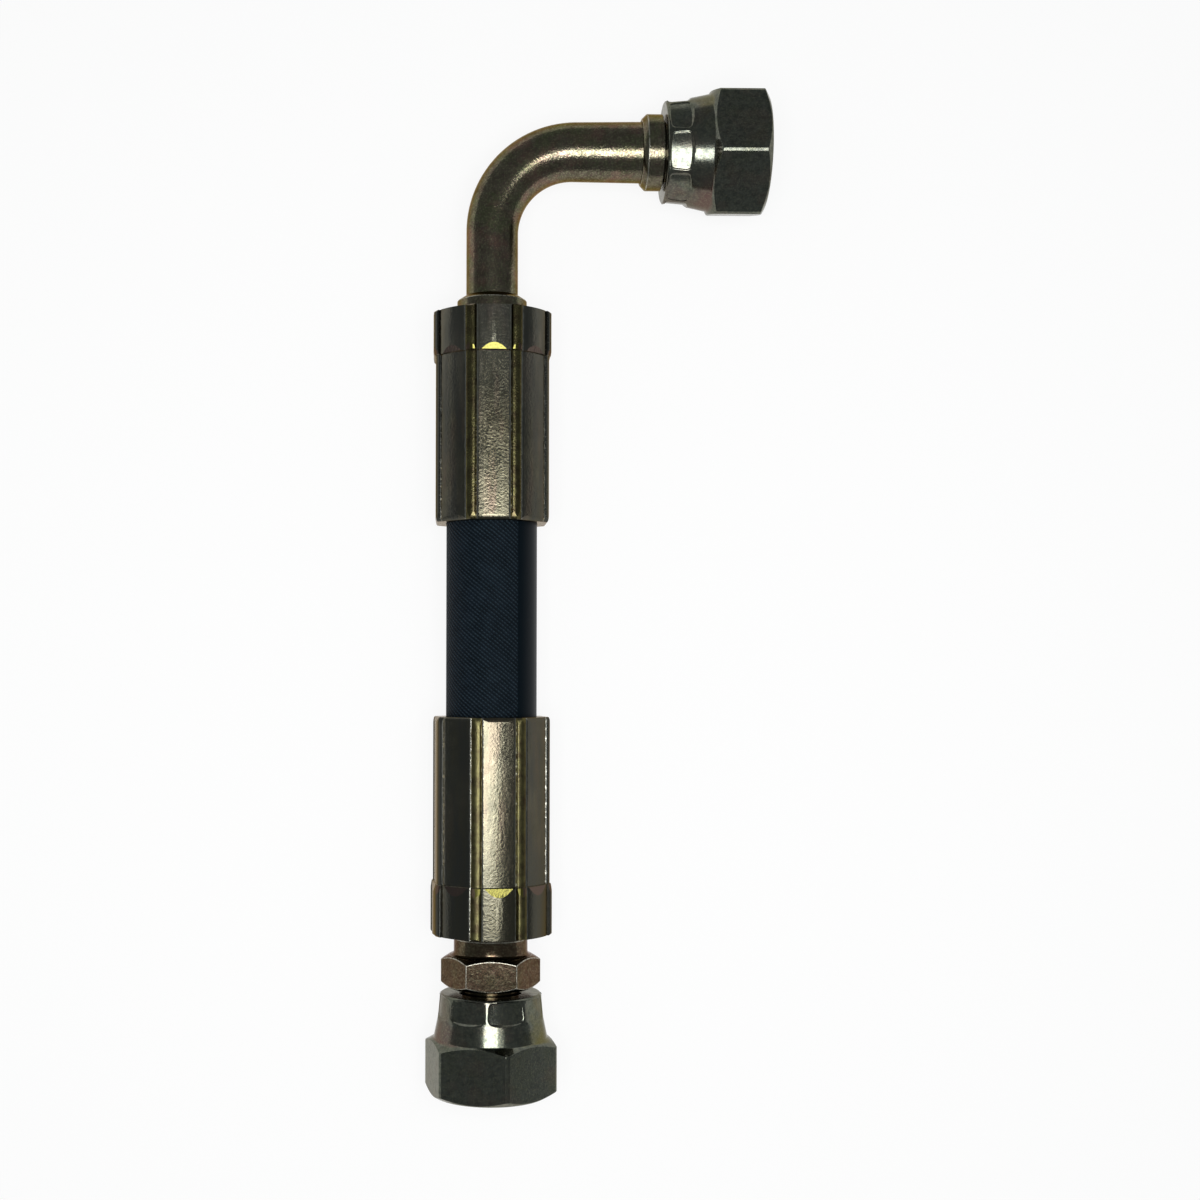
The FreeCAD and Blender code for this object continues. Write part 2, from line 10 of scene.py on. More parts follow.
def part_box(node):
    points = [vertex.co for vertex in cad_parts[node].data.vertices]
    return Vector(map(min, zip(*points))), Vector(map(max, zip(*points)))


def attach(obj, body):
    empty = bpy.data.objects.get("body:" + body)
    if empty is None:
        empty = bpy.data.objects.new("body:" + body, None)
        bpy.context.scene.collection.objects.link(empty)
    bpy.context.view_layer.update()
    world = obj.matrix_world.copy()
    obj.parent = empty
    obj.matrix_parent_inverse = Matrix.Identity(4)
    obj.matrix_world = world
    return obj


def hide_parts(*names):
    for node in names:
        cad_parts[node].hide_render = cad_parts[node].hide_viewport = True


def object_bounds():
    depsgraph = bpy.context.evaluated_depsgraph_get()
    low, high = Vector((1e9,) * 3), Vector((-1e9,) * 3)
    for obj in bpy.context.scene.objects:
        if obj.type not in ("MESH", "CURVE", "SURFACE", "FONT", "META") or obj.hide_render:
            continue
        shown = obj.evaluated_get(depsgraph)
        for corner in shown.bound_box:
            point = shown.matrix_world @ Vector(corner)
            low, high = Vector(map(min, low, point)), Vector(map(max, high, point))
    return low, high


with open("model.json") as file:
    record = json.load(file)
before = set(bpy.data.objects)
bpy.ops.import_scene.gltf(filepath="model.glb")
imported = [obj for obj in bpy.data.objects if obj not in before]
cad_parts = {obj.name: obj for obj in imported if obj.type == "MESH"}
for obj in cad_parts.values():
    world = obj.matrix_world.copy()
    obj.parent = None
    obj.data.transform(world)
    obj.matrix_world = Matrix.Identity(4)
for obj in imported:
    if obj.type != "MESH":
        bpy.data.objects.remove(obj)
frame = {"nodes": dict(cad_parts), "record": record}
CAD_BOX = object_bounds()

bl_info = {
    "name": "Hydraulic hose assembly",
    "version": (1, 0, 0),
    "blender": (4, 5, 0),
    "location": "3D View > Sidebar > Hose",
    "description": "Models a short crimped hydraulic hose with a straight and an elbow fitting",
    "category": "Object",
}

# The hose lies along Y with the origin at the straight end's cone tip, and the elbow's
# outlet points along +X. Angles round the hose are turned from +Z towards +X.
MM = 0.001
VERTICES = (True, False, False)
EDGES = (False, True, False)
FACES = (False, False, True)
ROUND_SIDES = 128
ON_AXIS = 0.01 * MM
# A hexagon's face circle and its turned blank, as shares of its width across flats.
HEX_FACE, HEX_BLANK = 0.95, 1.2
# How far apart a wave texture's bands are at scale 1.
WAVE_BAND = math.tau / 20
MOUNTS = {mount["name"]: Vector(mount["pos_m"]) for mount in frame["record"]["mounts"]}
OUTLET_TIP = MOUNTS["elbow_port"]
STRAIGHT_FACE, STRAIGHT_MOUTH = (corner.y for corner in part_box("straight_ferrule"))
ELBOW_MOUTH, ELBOW_FACE = (corner.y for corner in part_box("elbow_ferrule"))
NUT_FRONT, NUT_BACK = (corner.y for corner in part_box("straight_swivel_nut"))


def linear(hex_colour):
    """sRGB hex colour as the linear values that a shader takes."""
    values = [int(hex_colour[k:k + 2], 16) / 255 for k in (1, 3, 5)]
    return [v / 12.92 if v <= 0.04045 else ((v + 0.055) / 1.055) ** 2.4 for v in values]


def size(name, description, millimetres):
    return FloatProperty(name=name, description=description, default=millimetres * MM,
                         min=0, precision=5, subtype="DISTANCE", unit="LENGTH")


def turn(name, description, degrees):
    return FloatProperty(name=name, description=description, default=math.radians(degrees),
                         subtype="ANGLE", unit="ROTATION")


def power(name, description, watts):
    return FloatProperty(name=name, description=description, default=watts, min=0,
                         precision=3, subtype="POWER", unit="POWER")


def colour(name, description, hex_colour):
    return FloatVectorProperty(name=name, description=description, size=3, min=0, max=1,
                               default=linear(hex_colour), subtype="COLOR")


class HoseCoverSettings(bpy.types.PropertyGroup):
    bore: size("Hose bore", "Inside of the rubber tube", 6.4)
    radius: size("Cover radius", "Outside of the free hose", 6.8)
    wall: size("Cover wall", "Thickness of the rubber cover", 1.25)
    bite: size("Bite radius", "Outside of the hose under the ferrules' teeth", 6.3)
    flare: size("Flare", "Where the hose starts to swell, from the mouth", 3)
    swell: size("Swell", "Where it is full again, from the mouth", 0.8)
    strip_start: turn("Strip start", "First edge of the smooth marking strip", 34)
    strip_end: turn("Strip end", "Second edge of the smooth marking strip", 112)
    strip_height: size("Strip height", "How far the marking strip stands proud", 0.05)
    edge: size("Edge rounding", "Edges of the strip and the cut ends", 0.03)
    weave_pitch: size("Weave pitch", "Thread spacing of the wrapping cloth's imprint", 0.5)


class FerruleSettings(bpy.types.PropertyGroup):
    segments: IntProperty(name="Crimp segments", description="Dies of the crimping head",
                          default=8, min=4, max=12)
    body_flats: size("Body across flats", "Behind the step", 16.9)
    body_lands: size("Body land diameter", "Over the lands behind the step", 18.05)
    shoulder_flats: size("Shoulder across flats", "In front of the step", 17.65)
    shoulder_lands: size("Shoulder land diameter", "Over the lands in front", 18.75)
    straight_shoulder: size("Straight shoulder", "Face to step at the straight end", 6.3)
    elbow_shoulder: size("Elbow shoulder", "Face to step at the elbow end", 5.6)
    straight_slope: size("Straight slope", "Length of the slope at the straight step", 1.3)
    elbow_slope: size("Elbow slope", "The same at the elbow step", 0.95)
    straight_drop: size("Straight drop", "Fall of the straight slope", 0.2)
    elbow_drop: size("Elbow drop", "Fall of the elbow slope", 0.15)
    step: size("Step length", "Steep step behind the slope", 0.14)
    land_crown: size("Land crown radius", "Doming of a land's top", 1.5)
    land_top_turn: turn("Land top turn", "From the middle of that doming to its end", 21)
    land_side: size("Land side radius", "Rounding at a land's sides", 0.4)
    land_turn: turn("Land turn", "From the top of a land to its foot", 60)
    groove: size("Groove width", "Bottom between a flat's edge and the land", 0.1)
    flat_edge: size("Flat edge radius", "Soft edge of a flat at the groove", 0.9)
    flat_edge_turn: turn("Flat edge turn", "Turn of the surface over that edge", 30)
    body_crown: size("Body crown radius", "Doming of the body's flats", 26)
    shoulder_crown: size("Shoulder crown radius", "Doming of the shoulder's flats", 11)
    straight_turn: turn("Straight crimp turn", "Facing flat of the straight ferrule", 7)
    elbow_turn: turn("Elbow crimp turn", "Facing flat of the elbow ferrule", -1)
    lip_length: size("Lip length", "How far the flats roll off towards the mouth", 1.3)
    lip_drop: size("Lip drop", "How much they roll off", 0.35)
    face_chamfer: size("Face chamfer", "Edge of the face at the fitting", 0.25)
    end_wall: size("End wall", "Thickness of the wall locked in the stem's groove", 3.8)
    lock_radius: size("Lock radius", "Hole in the end wall", 3.6)
    first_tooth: size("First tooth", "Room between the end wall and the first tooth", 1.6)
    tooth_depth: size("Tooth depth", "Inner teeth that bite the hose", 0.4)
    tooth_pitch: size("Tooth pitch", "Spacing of the inner teeth", 3.4)
    tooth_crest: size("Tooth crest", "Flat on top of an inner tooth", 1.1)
    flare: size("Flare", "Where the bore starts to widen, from the mouth", 3.12)
    flare_length: size("Flare length", "Slope of the widening bore", 2.2)
    mouth_room: size("Mouth room", "Gap round the hose at the mouth", 0.12)


class StemSettings(bpy.types.PropertyGroup):
    flow_bore: size("Flow bore", "Hole through the stems", 4.4)
    bore_chamfer: size("Bore chamfer", "Edge of that hole at the cone's tip", 0.4)
    cone_angle: turn("Cone half angle", "Sealing cone", 12)
    tip: size("Cone tip diameter", "Small end of the sealing cone", 7.8)
    tip_chamfer: size("Tip chamfer", "Edge of the cone's tip", 0.3)
    cone: size("Cone diameter", "Large end of the sealing cone", 9.9)
    cone_back: size("Cone back", "Straight stretch between cone and flange", 0.7)
    groove: size("O-ring groove diameter", "Bottom of the groove", 6.2)
    groove_width: size("O-ring groove width", "Width of the groove", 1.9)
    groove_station: size("O-ring station", "Middle of the groove from the tip", 2.1)
    flange: size("Flange diameter", "Collar that holds the nut", 11.7)
    flange_length: size("Flange length", "Width of the collar", 2.6)
    neck: size("Nose neck diameter", "Behind the flange", 8.6)
    hex_station: size("Hexagon station", "Start of the spanner hexagon", 14.1)
    hex_length: size("Hexagon length", "Width of the spanner hexagon", 4.9)
    hex_flats: size("Hexagon across flats", "Spanner size", 13)
    stem_neck: size("Stem neck diameter", "Between hexagon and ferrule", 11.1)
    stem_ring: size("Stem ring diameter", "Thin ring against the ferrule", 11.6)
    stem_ring_length: size("Stem ring length", "Width of the thin ring", 0.75)
    fillet: size("Stem fillet", "Hollow between neck and hexagon", 0.6)
    tail: size("Tail diameter", "Over the barbs", 6.4)
    tail_chamfer: size("Tail chamfer", "Slope at the end of the tail", 0.7)
    lock_collar: size("Lock collar diameter", "Collar behind the ferrule's end wall", 8.4)
    lock_collar_length: size("Lock collar length", "Width of that collar", 1.2)
    barb_pitch: size("Barb pitch", "Spacing of the barbs", 3.2)
    barb_depth: size("Barb depth", "Height of a barb", 0.4)
    barb_ramp: size("Barb ramp", "Length of a barb's slope", 1.9)
    tail_setback: size("Tail setback", "Tail end inside the ferrule's mouth", 2.4)
    edge: size("Edge rounding", "Turned and milled edges", 0.1)


class ElbowSettings(bpy.types.PropertyGroup):
    bend: size("Bend radius", "To the middle of the tube", 12.4)
    bore: size("Tube bore", "Inside of the bent tube", 5)
    tail: size("Tube at the tail", "Outside diameter by the hose", 7.8)
    bend_end: size("Tube after the bend", "Outside diameter past the bend", 8.7)
    head: size("Tube at the head", "Outside diameter by the outlet", 9)
    socket: size("Socket depth", "Tube pushed into its rings", 1.6)
    tail_ring: size("Tail ring diameter", "Collar by the ferrule", 10.5)
    tail_ring_length: size("Tail ring length", "Width of that collar", 2.9)
    tail_ring_chamfer: size("Tail ring chamfer", "Slope towards the tube", 1.2)
    tail_ring_slope: size("Tail ring slope length", "Length of that slope", 0.8)
    head_ring: size("Head ring diameter", "Collar by the nut", 11.2)
    head_ring_length: size("Head ring length", "Width of that collar", 3.1)
    head_ring_chamfer: size("Head ring chamfer", "Slope towards the tube", 0.75)


class NutSettings(bpy.types.PropertyGroup):
    flats: size("Across flats", "Spanner size", 18)
    hex_length: size("Hexagon length", "Width of the hexagon", 8.6)
    collar: size("Collar diameter", "Outside of the crimped collar", 15.8)
    collar_taper: size("Collar taper", "Fall of the collar towards the stem", 0.3)
    collar_chamfer: size("Collar chamfer", "Edge of the collar at the stem", 0.25)
    cone_length: size("Cone length", "Slope between hexagon and collar", 3.2)
    thread_bore: size("Thread bore", "Root diameter of the thread", 14.1)
    thread_crest: size("Thread crest", "Crest diameter of the thread", 12.5)
    thread_depth: size("Thread depth", "From the front face", 7.4)
    thread_pitch: size("Thread pitch", "Advance in one turn", 1.5)
    entry: size("Entry chamfer", "At the mouth of the thread", 0.6)
    clearance: size("Swivel clearance", "Running gap to the stem", 0.3)
    pads: IntProperty(name="Crimp pads", description="Pads round the collar", default=8, min=3)
    pad_length: size("Pad length", "Along the axis", 3.1)
    pad_depth: size("Pad depth", "Pressed below the collar's wide end", 0.48)
    pad_gap: size("Pad gap", "Ridge between two pads", 1.0)
    pad_crown: size("Pad crown radius", "Doming of a pad", 15)
    pad_corner: size("Pad corner", "Rounding of a pad's corners", 0.5)
    pad_rim: size("Pad rim", "Rim left behind the pads", 0.3)
    straight_corner: turn("Straight nut corner", "Hexagon corner", 13)
    straight_pads: turn("Straight nut pads", "Middle of a pad", 17)
    elbow_corner: turn("Elbow nut corner", "Hexagon corner", -13.5)
    elbow_pads: turn("Elbow nut pads", "Middle of a pad", -14)
    corner_wear: size("Corner wear", "Depth worn off the corners of the hexagon", 0.17)
    edge: size("Edge rounding", "Other worn edges", 0.1)


class FinishSettings(bpy.types.PropertyGroup):
    zinc_light: colour("Zinc, light", "Yellow passivated zinc where it is thin", "#6B6656")
    zinc_dark: colour("Zinc, dark", "The same where it is thick", "#4F4B3D")
    zinc_edge: colour("Zinc at a glance", "What it turns to at low angles", "#CBB99F")
    zinc_pink: colour("Zinc, pink film", "Pink interference tint", "#7C5F56")
    zinc_green: colour("Zinc, green film", "Green interference tint", "#5E6448")
    # Mauve and olive are laid by side on the nuts as a painted tint of the film seen at a grazing
    # view. Mauve also lies on the ferrules' slopes all round.
    zinc_mauve: colour("Zinc, mauve film", "Beside the nuts' collars", "#62504A")
    zinc_olive: colour("Zinc, olive film", "On their other side", "#5E5A3A")
    zinc_worn: colour("Zinc, worn", "Edges rubbed to bare zinc", "#A3A195")
    zinc_speck: colour("Zinc, specks", "Dark pink specks in the film", "#5C444A")
    zinc_fleck: colour("Zinc, flecks", "Pale crystals of the plating", "#A3A184")
    nut_light: colour("Nut zinc, light", "Greyer film on the nuts", "#63665D")
    nut_dark: colour("Nut zinc, dark", "The same where it is thick", "#494D47")
    nut_edge: colour("Nut zinc at a glance", "The same at low angles", "#D4D2CB")
    bronze_light: colour("Bronze zinc, light", "Brown film on the straight stem", "#564838")
    bronze_dark: colour("Bronze zinc, dark", "The same where it is thick", "#3A3026")
    bronze_edge: colour("Bronze zinc at a glance", "The same at low angles", "#CDBFB9")
    silver_light: colour("Ferrule zinc, light", "Thin film on the ferrules", "#5F5C4C")
    # Also the straight ferrule's tone, which darkens its film at the shoulder and towards the
    # step.
    silver_dark: colour("Ferrule zinc, dark", "Handled film on the ferrules", "#4B493E")
    # Painted shade and painted reflection: the dark streaked colour laid on the flats and lands
    # round the ferrules' sides, away from the lamp.
    silver_painted_shade: colour("Ferrule zinc, sides", "Thicker film round the sides", "#474844")
    # Painted highlight colour: this yellow film is laid only on the slope of the flat that faces
    # the lamp, where it is lit.
    film: colour("Ferrule film", "Untouched slope of the facing flat", "#57542C")
    land_light: colour("Ferrule lands, light", "Film on the lands", "#5E5B3C")
    land_dark: colour("Ferrule lands, dark", "The same where it is thicker", "#423B2B")
    # Also laid over the elbow ferrule's shoulder as painted light, which lightens it.
    rubbed: colour("Ferrule, rubbed", "Bright edges of the flats", "#87877F")
    rubber: colour("Cover rubber", "Blue black of the cover", "#070F15")
    rubber_dust: colour("Cover rubber, dust", "Dust that clings to it", "#16202A")
    # Painted highlight: lighter tops of the imprint, where the lamp glints on the crests.
    rubber_crest_highlight: colour("Cover rubber, crests", "Dusty tops of the imprint", "#26323A")
    rubber_strip: colour("Strip rubber", "Smooth marking strip", "#050E14")
    tube_rubber: colour("Tube rubber", "Black of the lining", "#141414")
    seal_rubber: colour("Seal rubber", "Black of the O-rings", "#17181A")
    bloom: colour("Rubber bloom", "Pale film on moulded rubber", "#2A2B2D")
    wire: colour("Brass coated wire", "Braid wire", "#9A8456")
    wire_gap: colour("Wire gaps", "Shade between the wires", "#3A3222")


class StageSettings(bpy.types.PropertyGroup):
    lens: FloatProperty(name="Lens", description="Focal length in mm", default=50.75, min=1)
    camera_height: size("Camera distance", "From the hose's axis", 255)
    aim_station: size("Aim station", "Where the camera's axis meets the hose", 63)
    pitch: turn("Pitch", "Camera tilt about X", -0.45)
    yaw: turn("Yaw", "Camera tilt about Y", 1.05)
    roll: turn("Roll", "Camera turn in its own plane", -0.13)
    shift_x: FloatProperty(name="Shift X", description="Framing", default=0.0906)
    shift_y: FloatProperty(name="Shift Y", description="Framing", default=0.0511)
    key_power: power("Key power", "Soft lamp over the hose", 0.568)
    side_power: power("Side power", "Small soft lamp beside it", 0.052)
    fill_power: power("Fill power", "Each wide lamp at the sides", 1)
    paper: colour("Paper", "Pale floor under the hose", "#F6F6F5")
    paper_glow: FloatProperty(name="Paper glow", min=0, max=1, default=0.87,
                              description="Share of plain white in the paper as it is seen")
    horizon: colour("Room at eye level", "Dim room round the hose", "#888D90")
    zenith: colour("Room overhead", "Dim ceiling round the lamp", "#7E8284")


def settings(*groups):
    """The settings of each group named, or of the only one."""
    found = [getattr(bpy.context.scene, "hose_" + group) for group in groups]
    return found if len(found) > 1 else found[0]


def only(piece):
    """Selects one object and nothing else."""
    bpy.ops.object.select_all(action="DESELECT")
    piece.select_set(True)
    bpy.context.view_layer.objects.active = piece


def edit(piece, mode, action="DESELECT"):
    """Opens a piece's mesh with everything or nothing selected."""
    only(piece)
    bpy.ops.object.mode_set(mode="EDIT")
    bpy.context.tool_settings.mesh_select_mode = mode
    bpy.ops.mesh.select_all(action=action)


def named(name):
    """Names the new object and applies its place."""
    piece = bpy.context.object
    piece.name = piece.data.name = name
    bpy.ops.object.transform_apply(location=True, rotation=True, scale=True)
    return piece


def closed(piece):
    """Merges what meets, turns the faces outwards and leaves the mesh."""
    bpy.ops.mesh.select_all(action="SELECT")
    bpy.ops.mesh.remove_doubles(threshold=0.001 * MM)
    bpy.ops.mesh.normals_make_consistent(inside=False)
    bpy.ops.mesh.select_all(action="DESELECT")
    bpy.ops.object.mode_set(mode="OBJECT")
    return piece


def pull(move):
    """Extrudes what is selected."""
    bpy.ops.mesh.extrude_region_move(TRANSFORM_OT_translate={"value": move})


def polar(radius, angle, station):
    """Point round the Y axis."""
    return Vector((radius * math.sin(angle), station, radius * math.cos(angle)))


def quarter_turn(steps):
    """Angles from 0 to 90 degrees."""
    return [math.radians(90 * k / steps) for k in range(steps + 1)]


def turned(name, outline, sides=ROUND_SIDES, first_corner=0.0, bored=True):
    """Piece turned round the Y axis, extruded ring by ring along its (station, radius) outline.

    A bored piece runs back to its first ring, and a solid one has an end face at each end.
    """
    station, radius = outline[0]
    bpy.ops.mesh.primitive_circle_add(
        vertices=sides, radius=radius, fill_type="NOTHING" if bored else "NGON",
        location=(0, station, 0), rotation=(math.pi / 2, first_corner, 0))
    piece = named(name)
    edit(piece, VERTICES, "SELECT")
    for new_station, new_radius in outline[1:] + (outline[:1] if bored else []):
        pull((0, new_station - station, 0))
        bpy.ops.transform.resize(value=(new_radius / radius, 1, new_radius / radius),
                                 center_override=(0, new_station, 0))
        station, radius = new_station, new_radius
    return closed(piece)


def swept(name, rings, sides):
    """Tube through rings of (centre, heading, radius) that lie in the XY plane and meet again."""
    centre, heading, radius = rings[0]
    bpy.ops.mesh.primitive_circle_add(
        vertices=sides, radius=radius, location=centre, rotation=(math.pi / 2, 0, heading))
    piece = named(name)
    edit(piece, VERTICES, "SELECT")
    for new_centre, new_heading, new_radius in rings[1:] + rings[:1]:
        pull(new_centre - centre)
        bpy.ops.transform.rotate(value=heading - new_heading, orient_axis="Z",
                                 center_override=new_centre)
        bpy.ops.transform.resize(value=[new_radius / radius] * 3, center_override=new_centre)
        centre, heading, radius = new_centre, new_heading, new_radius
    return closed(piece)


def solid(name, outline, **more):
    """Turned piece whose outline is closed onto the axis at both ends."""
    ends = [(outline[k][0], ON_AXIS) for k in (0, -1)]
    return turned(name, [ends[0], *outline, ends[1]], bored=False, **more)


def mill_flats(piece, count, across_flats, corner, worn=False):
    """Saws flats off a turned blank, as on a hexagon bar, or wears its corners flat.

    Worn faces are put in the piece's second slot, which fit() reads.
    """
    normals = [polar(1, corner + math.tau / count * (k + 0.5), 0) for k in range(count)]
    edit(piece, VERTICES)
    for normal in normals:
        bpy.ops.mesh.select_all(action="SELECT")
        bpy.ops.mesh.bisect(plane_co=normal * across_flats / 2, plane_no=normal,
                            use_fill=True, clear_outer=True, threshold=0.001 * MM)
    closed(piece)
    if worn:
        two_slots(piece)
        same_way = 0.99999
        for face in piece.data.polygons:
            if max(face.normal.dot(normal) for normal in normals) > same_way:
                face.material_index = 1


def two_slots(piece):
    """Makes room for the worn faces beside the others."""
    while len(piece.data.materials) < 2:
        piece.data.materials.append(None)


def combine(piece, tool, operation):
    """Joins, cuts or trims a piece with a tool that is used up."""
    only(piece)
    bpy.ops.object.modifier_add(type="BOOLEAN")
    modifier = piece.modifiers[-1]
    modifier.operation = operation
    modifier.object = tool
    bpy.ops.object.modifier_apply(modifier=modifier.name)
    bpy.data.objects.remove(tool)
    edit(piece, VERTICES)
    closed(piece)


def ease(piece, width, degrees):
    """Rounds the edges that are sharper than an angle.

    The new faces are put in the piece's second slot, which fit() reads as worn.
    """
    edit(piece, EDGES)
    bpy.ops.mesh.edges_select_sharp(sharpness=math.radians(degrees))
    two_slots(piece)
    bpy.ops.mesh.bevel(offset=width, segments=2, clamp_overlap=False, material=1)
    closed(piece)


def moved(piece, place, degrees=0):
    """Takes a piece from the origin to its place, turned about Z."""
    only(piece)
    piece.location = place
    piece.rotation_euler = (0, 0, math.radians(degrees))
    bpy.ops.object.transform_apply(location=True, rotation=True)


def fit(piece, body, material, node, smooth=35):
    """Smooths a finished piece, gives it its finish and mounts it in place of its CAD node."""
    only(piece)
    bpy.ops.object.shade_smooth_by_angle(angle=math.radians(smooth))
    bpy.ops.object.modifier_add(type="WEIGHTED_NORMAL")
    piece.modifiers[-1].keep_sharp = True
    bpy.ops.object.modifier_apply(modifier=piece.modifiers[-1].name)
    worn = [float(face.material_index == 1) for face in piece.data.polygons]
    piece.data.attributes.new("worn", "FLOAT", "FACE").data.foreach_set("value", worn)
    piece.data.materials.clear()
    piece.data.materials.append(material)
    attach(piece, body)
    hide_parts(node)


def connect(node, inputs):
    """Sets or links a node's inputs, each to a value, a colour or another node's output."""
    for name, value in inputs.items():
        socket = node.inputs[name]
        if isinstance(value, bpy.types.NodeSocket):
            node.id_data.links.new(value, socket)
        elif socket.type == "RGBA":
            socket.default_value = (*value[:3], 1)
        else:
            socket.default_value = value


def add(tree, kind, *inputs, out=None, **given):
    """Adds a node with its inputs and options, and returns one of its outputs.

    Inputs are given in their order, or by name with a capital. A name without a capital
    is one of the node's own options.
    """
    node = tree.nodes.new("ShaderNode" + kind)
    for name, value in given.items():
        if name.islower():
            setattr(node, name, value)
    in_use = [k for k, socket in enumerate(node.inputs) if socket.enabled]
    connect(node, dict(zip(in_use, inputs)))
    connect(node, {name: value for name, value in given.items() if not name.islower()})
    return node.outputs[out] if out else next(o for o in node.outputs if o.enabled)


def new_material(name):
    """Material, the function that adds a node to it, its shader and its coordinates."""
    material = bpy.data.materials.new(name)
    material.use_nodes = True
    node = partial(add, material.node_tree)
    shader = material.node_tree.nodes["Principled BSDF"]
    return material, node, shader, node("TexCoord", out="Object")


def fineness(millimetres):
    """Scale of a noise whose blotches are about that wide."""
    return 1 / (millimetres * MM)


def patches(node, place, millimetres, detail, low, high, bottom=0, top=1, roughness=0.5):
    """Blotches about as wide as the real size, stretched between two of their values."""
    noise = node("TexNoise", place, fineness(millimetres), detail, roughness)
    return node("MapRange", noise, low, high, bottom, top)


def coated(node, base, *coats):
    """Lays colours over a base, each where its pattern says."""
    for pattern, shade in coats:
        base = node("Mix", pattern, base, shade, data_type="RGBA")
    return base


def round_hose(node, place):
    """Angle round the hose and station along it."""
    parts = node("SeparateXYZ", place).node.outputs
    return node("Math", parts["X"], parts["Z"], operation="ARCTAN2"), parts["Y"]


def crossing_threads(node, angle, station, radius, leans, pitch, waviness=0, detail=2):
    """Two sets of leaning threads on the surface at a radius, unrolled to a flat sheet."""
    sheet = node("CombineXYZ", node("Math", angle, radius, operation="MULTIPLY"), station)
    for lean in leans:
        leaning = node("Mapping", sheet, Rotation=(0, 0, math.radians(lean)))
        yield node("TexWave", leaning, WAVE_BAND / pitch, waviness, detail, out="Fac")


def zinc(name, film, blotch, peel, relief, tooth, polish, tint, flecked):
    """Zinc plated steel with a yellow chromate film, turned, milled or drawn before plating.

    The film is uneven, so it gives the eye drifting pink and green tints over olive, pale
    and dark specks, and the plating's orange peel breaks up the edges of every highlight.
    Real specks and peel are under 0.1 mm wide, too fine to show, so they are drawn 0.24
    to 0.3 mm wide. Blotch, peel, relief and tooth are in millimetres, and the rest are
    shares. A piece's film attribute leads from mauve, -1, to olive, 1, and its worn
    attribute marks the edges that are rubbed to bare zinc. On the nuts the film attribute
    is a tint painted by side, mauve on one side and olive on the other, which stands in
    for the colour the film shows at a grazing view at their sides, so it is partly
    painted reflection.
    """
    material, node, shader, place = new_material(name)
    finish = settings("finish")
    light, dark, glance = (getattr(finish, f"{film}_{tone}")
                           for tone in ("light", "dark", "edge"))
    blotches = patches(node, place, blotch, 5, 0.36, 0.64, roughness=0.62)
    elsewhere = node("Mapping", place, Location=(0.013, 0.027, 0.008))
    wander = patches(node, place, 2, 3, 0.3, 0.7, -0.15, 0.15)
    side = node("Math", node("Attribute", attribute_name="film", out="Fac"), wander)
    worn = node("Math", node("Attribute", attribute_name="worn", out="Fac"),
                patches(node, place, 0.5, 3, 0.35, 0.55, 0.35), operation="MULTIPLY")
    base = coated(
        node, dark,
        (blotches, light),
        (patches(node, place, 4, 5, 0.5, 0.62, 0, tint, 0.6), finish.zinc_pink),
        (patches(node, elsewhere, 4.5, 5, 0.5, 0.62, 0, tint, 0.6), finish.zinc_green),
        # Painted reflection tint: mauve and olive laid by side from the film attribute, as the
        # film looks at a grazing view.
        (node("MapRange", side, -0.55, -1.05), finish.zinc_mauve),
        (node("MapRange", side, 0.55, 1.05), finish.zinc_olive),
        (patches(node, place, 0.24, 1, 0.55, 0.68, 0, tint), finish.zinc_speck),
        (patches(node, elsewhere, 0.24, 1, 0.5, 0.7, 0, flecked), finish.zinc_fleck),
        (worn, finish.zinc_worn))
    fine = node("TexNoise", place, fineness(0.16), 1)
    rough = node("Math", node("MapRange", blotches, 0, 1, polish + 0.05, polish - 0.03),
                 node("MapRange", fine, 0.3, 0.7, -0.03, 0.04))
    rough = node("Math", rough, node("MapRange", worn, 0, 1, 0, 0.14))
    skin = node("TexNoise", place, fineness(peel), 1.5)
    waves = node("Bump", Distance=relief * MM, Height=skin)
    bumps = node("Bump", Distance=tooth * MM, Height=fine, Normal=waves)
    connect(shader, {"Base Color": base, "Roughness": rough, "Normal": bumps,
                     "Metallic": 1, "Specular Tint": glance})
    return material


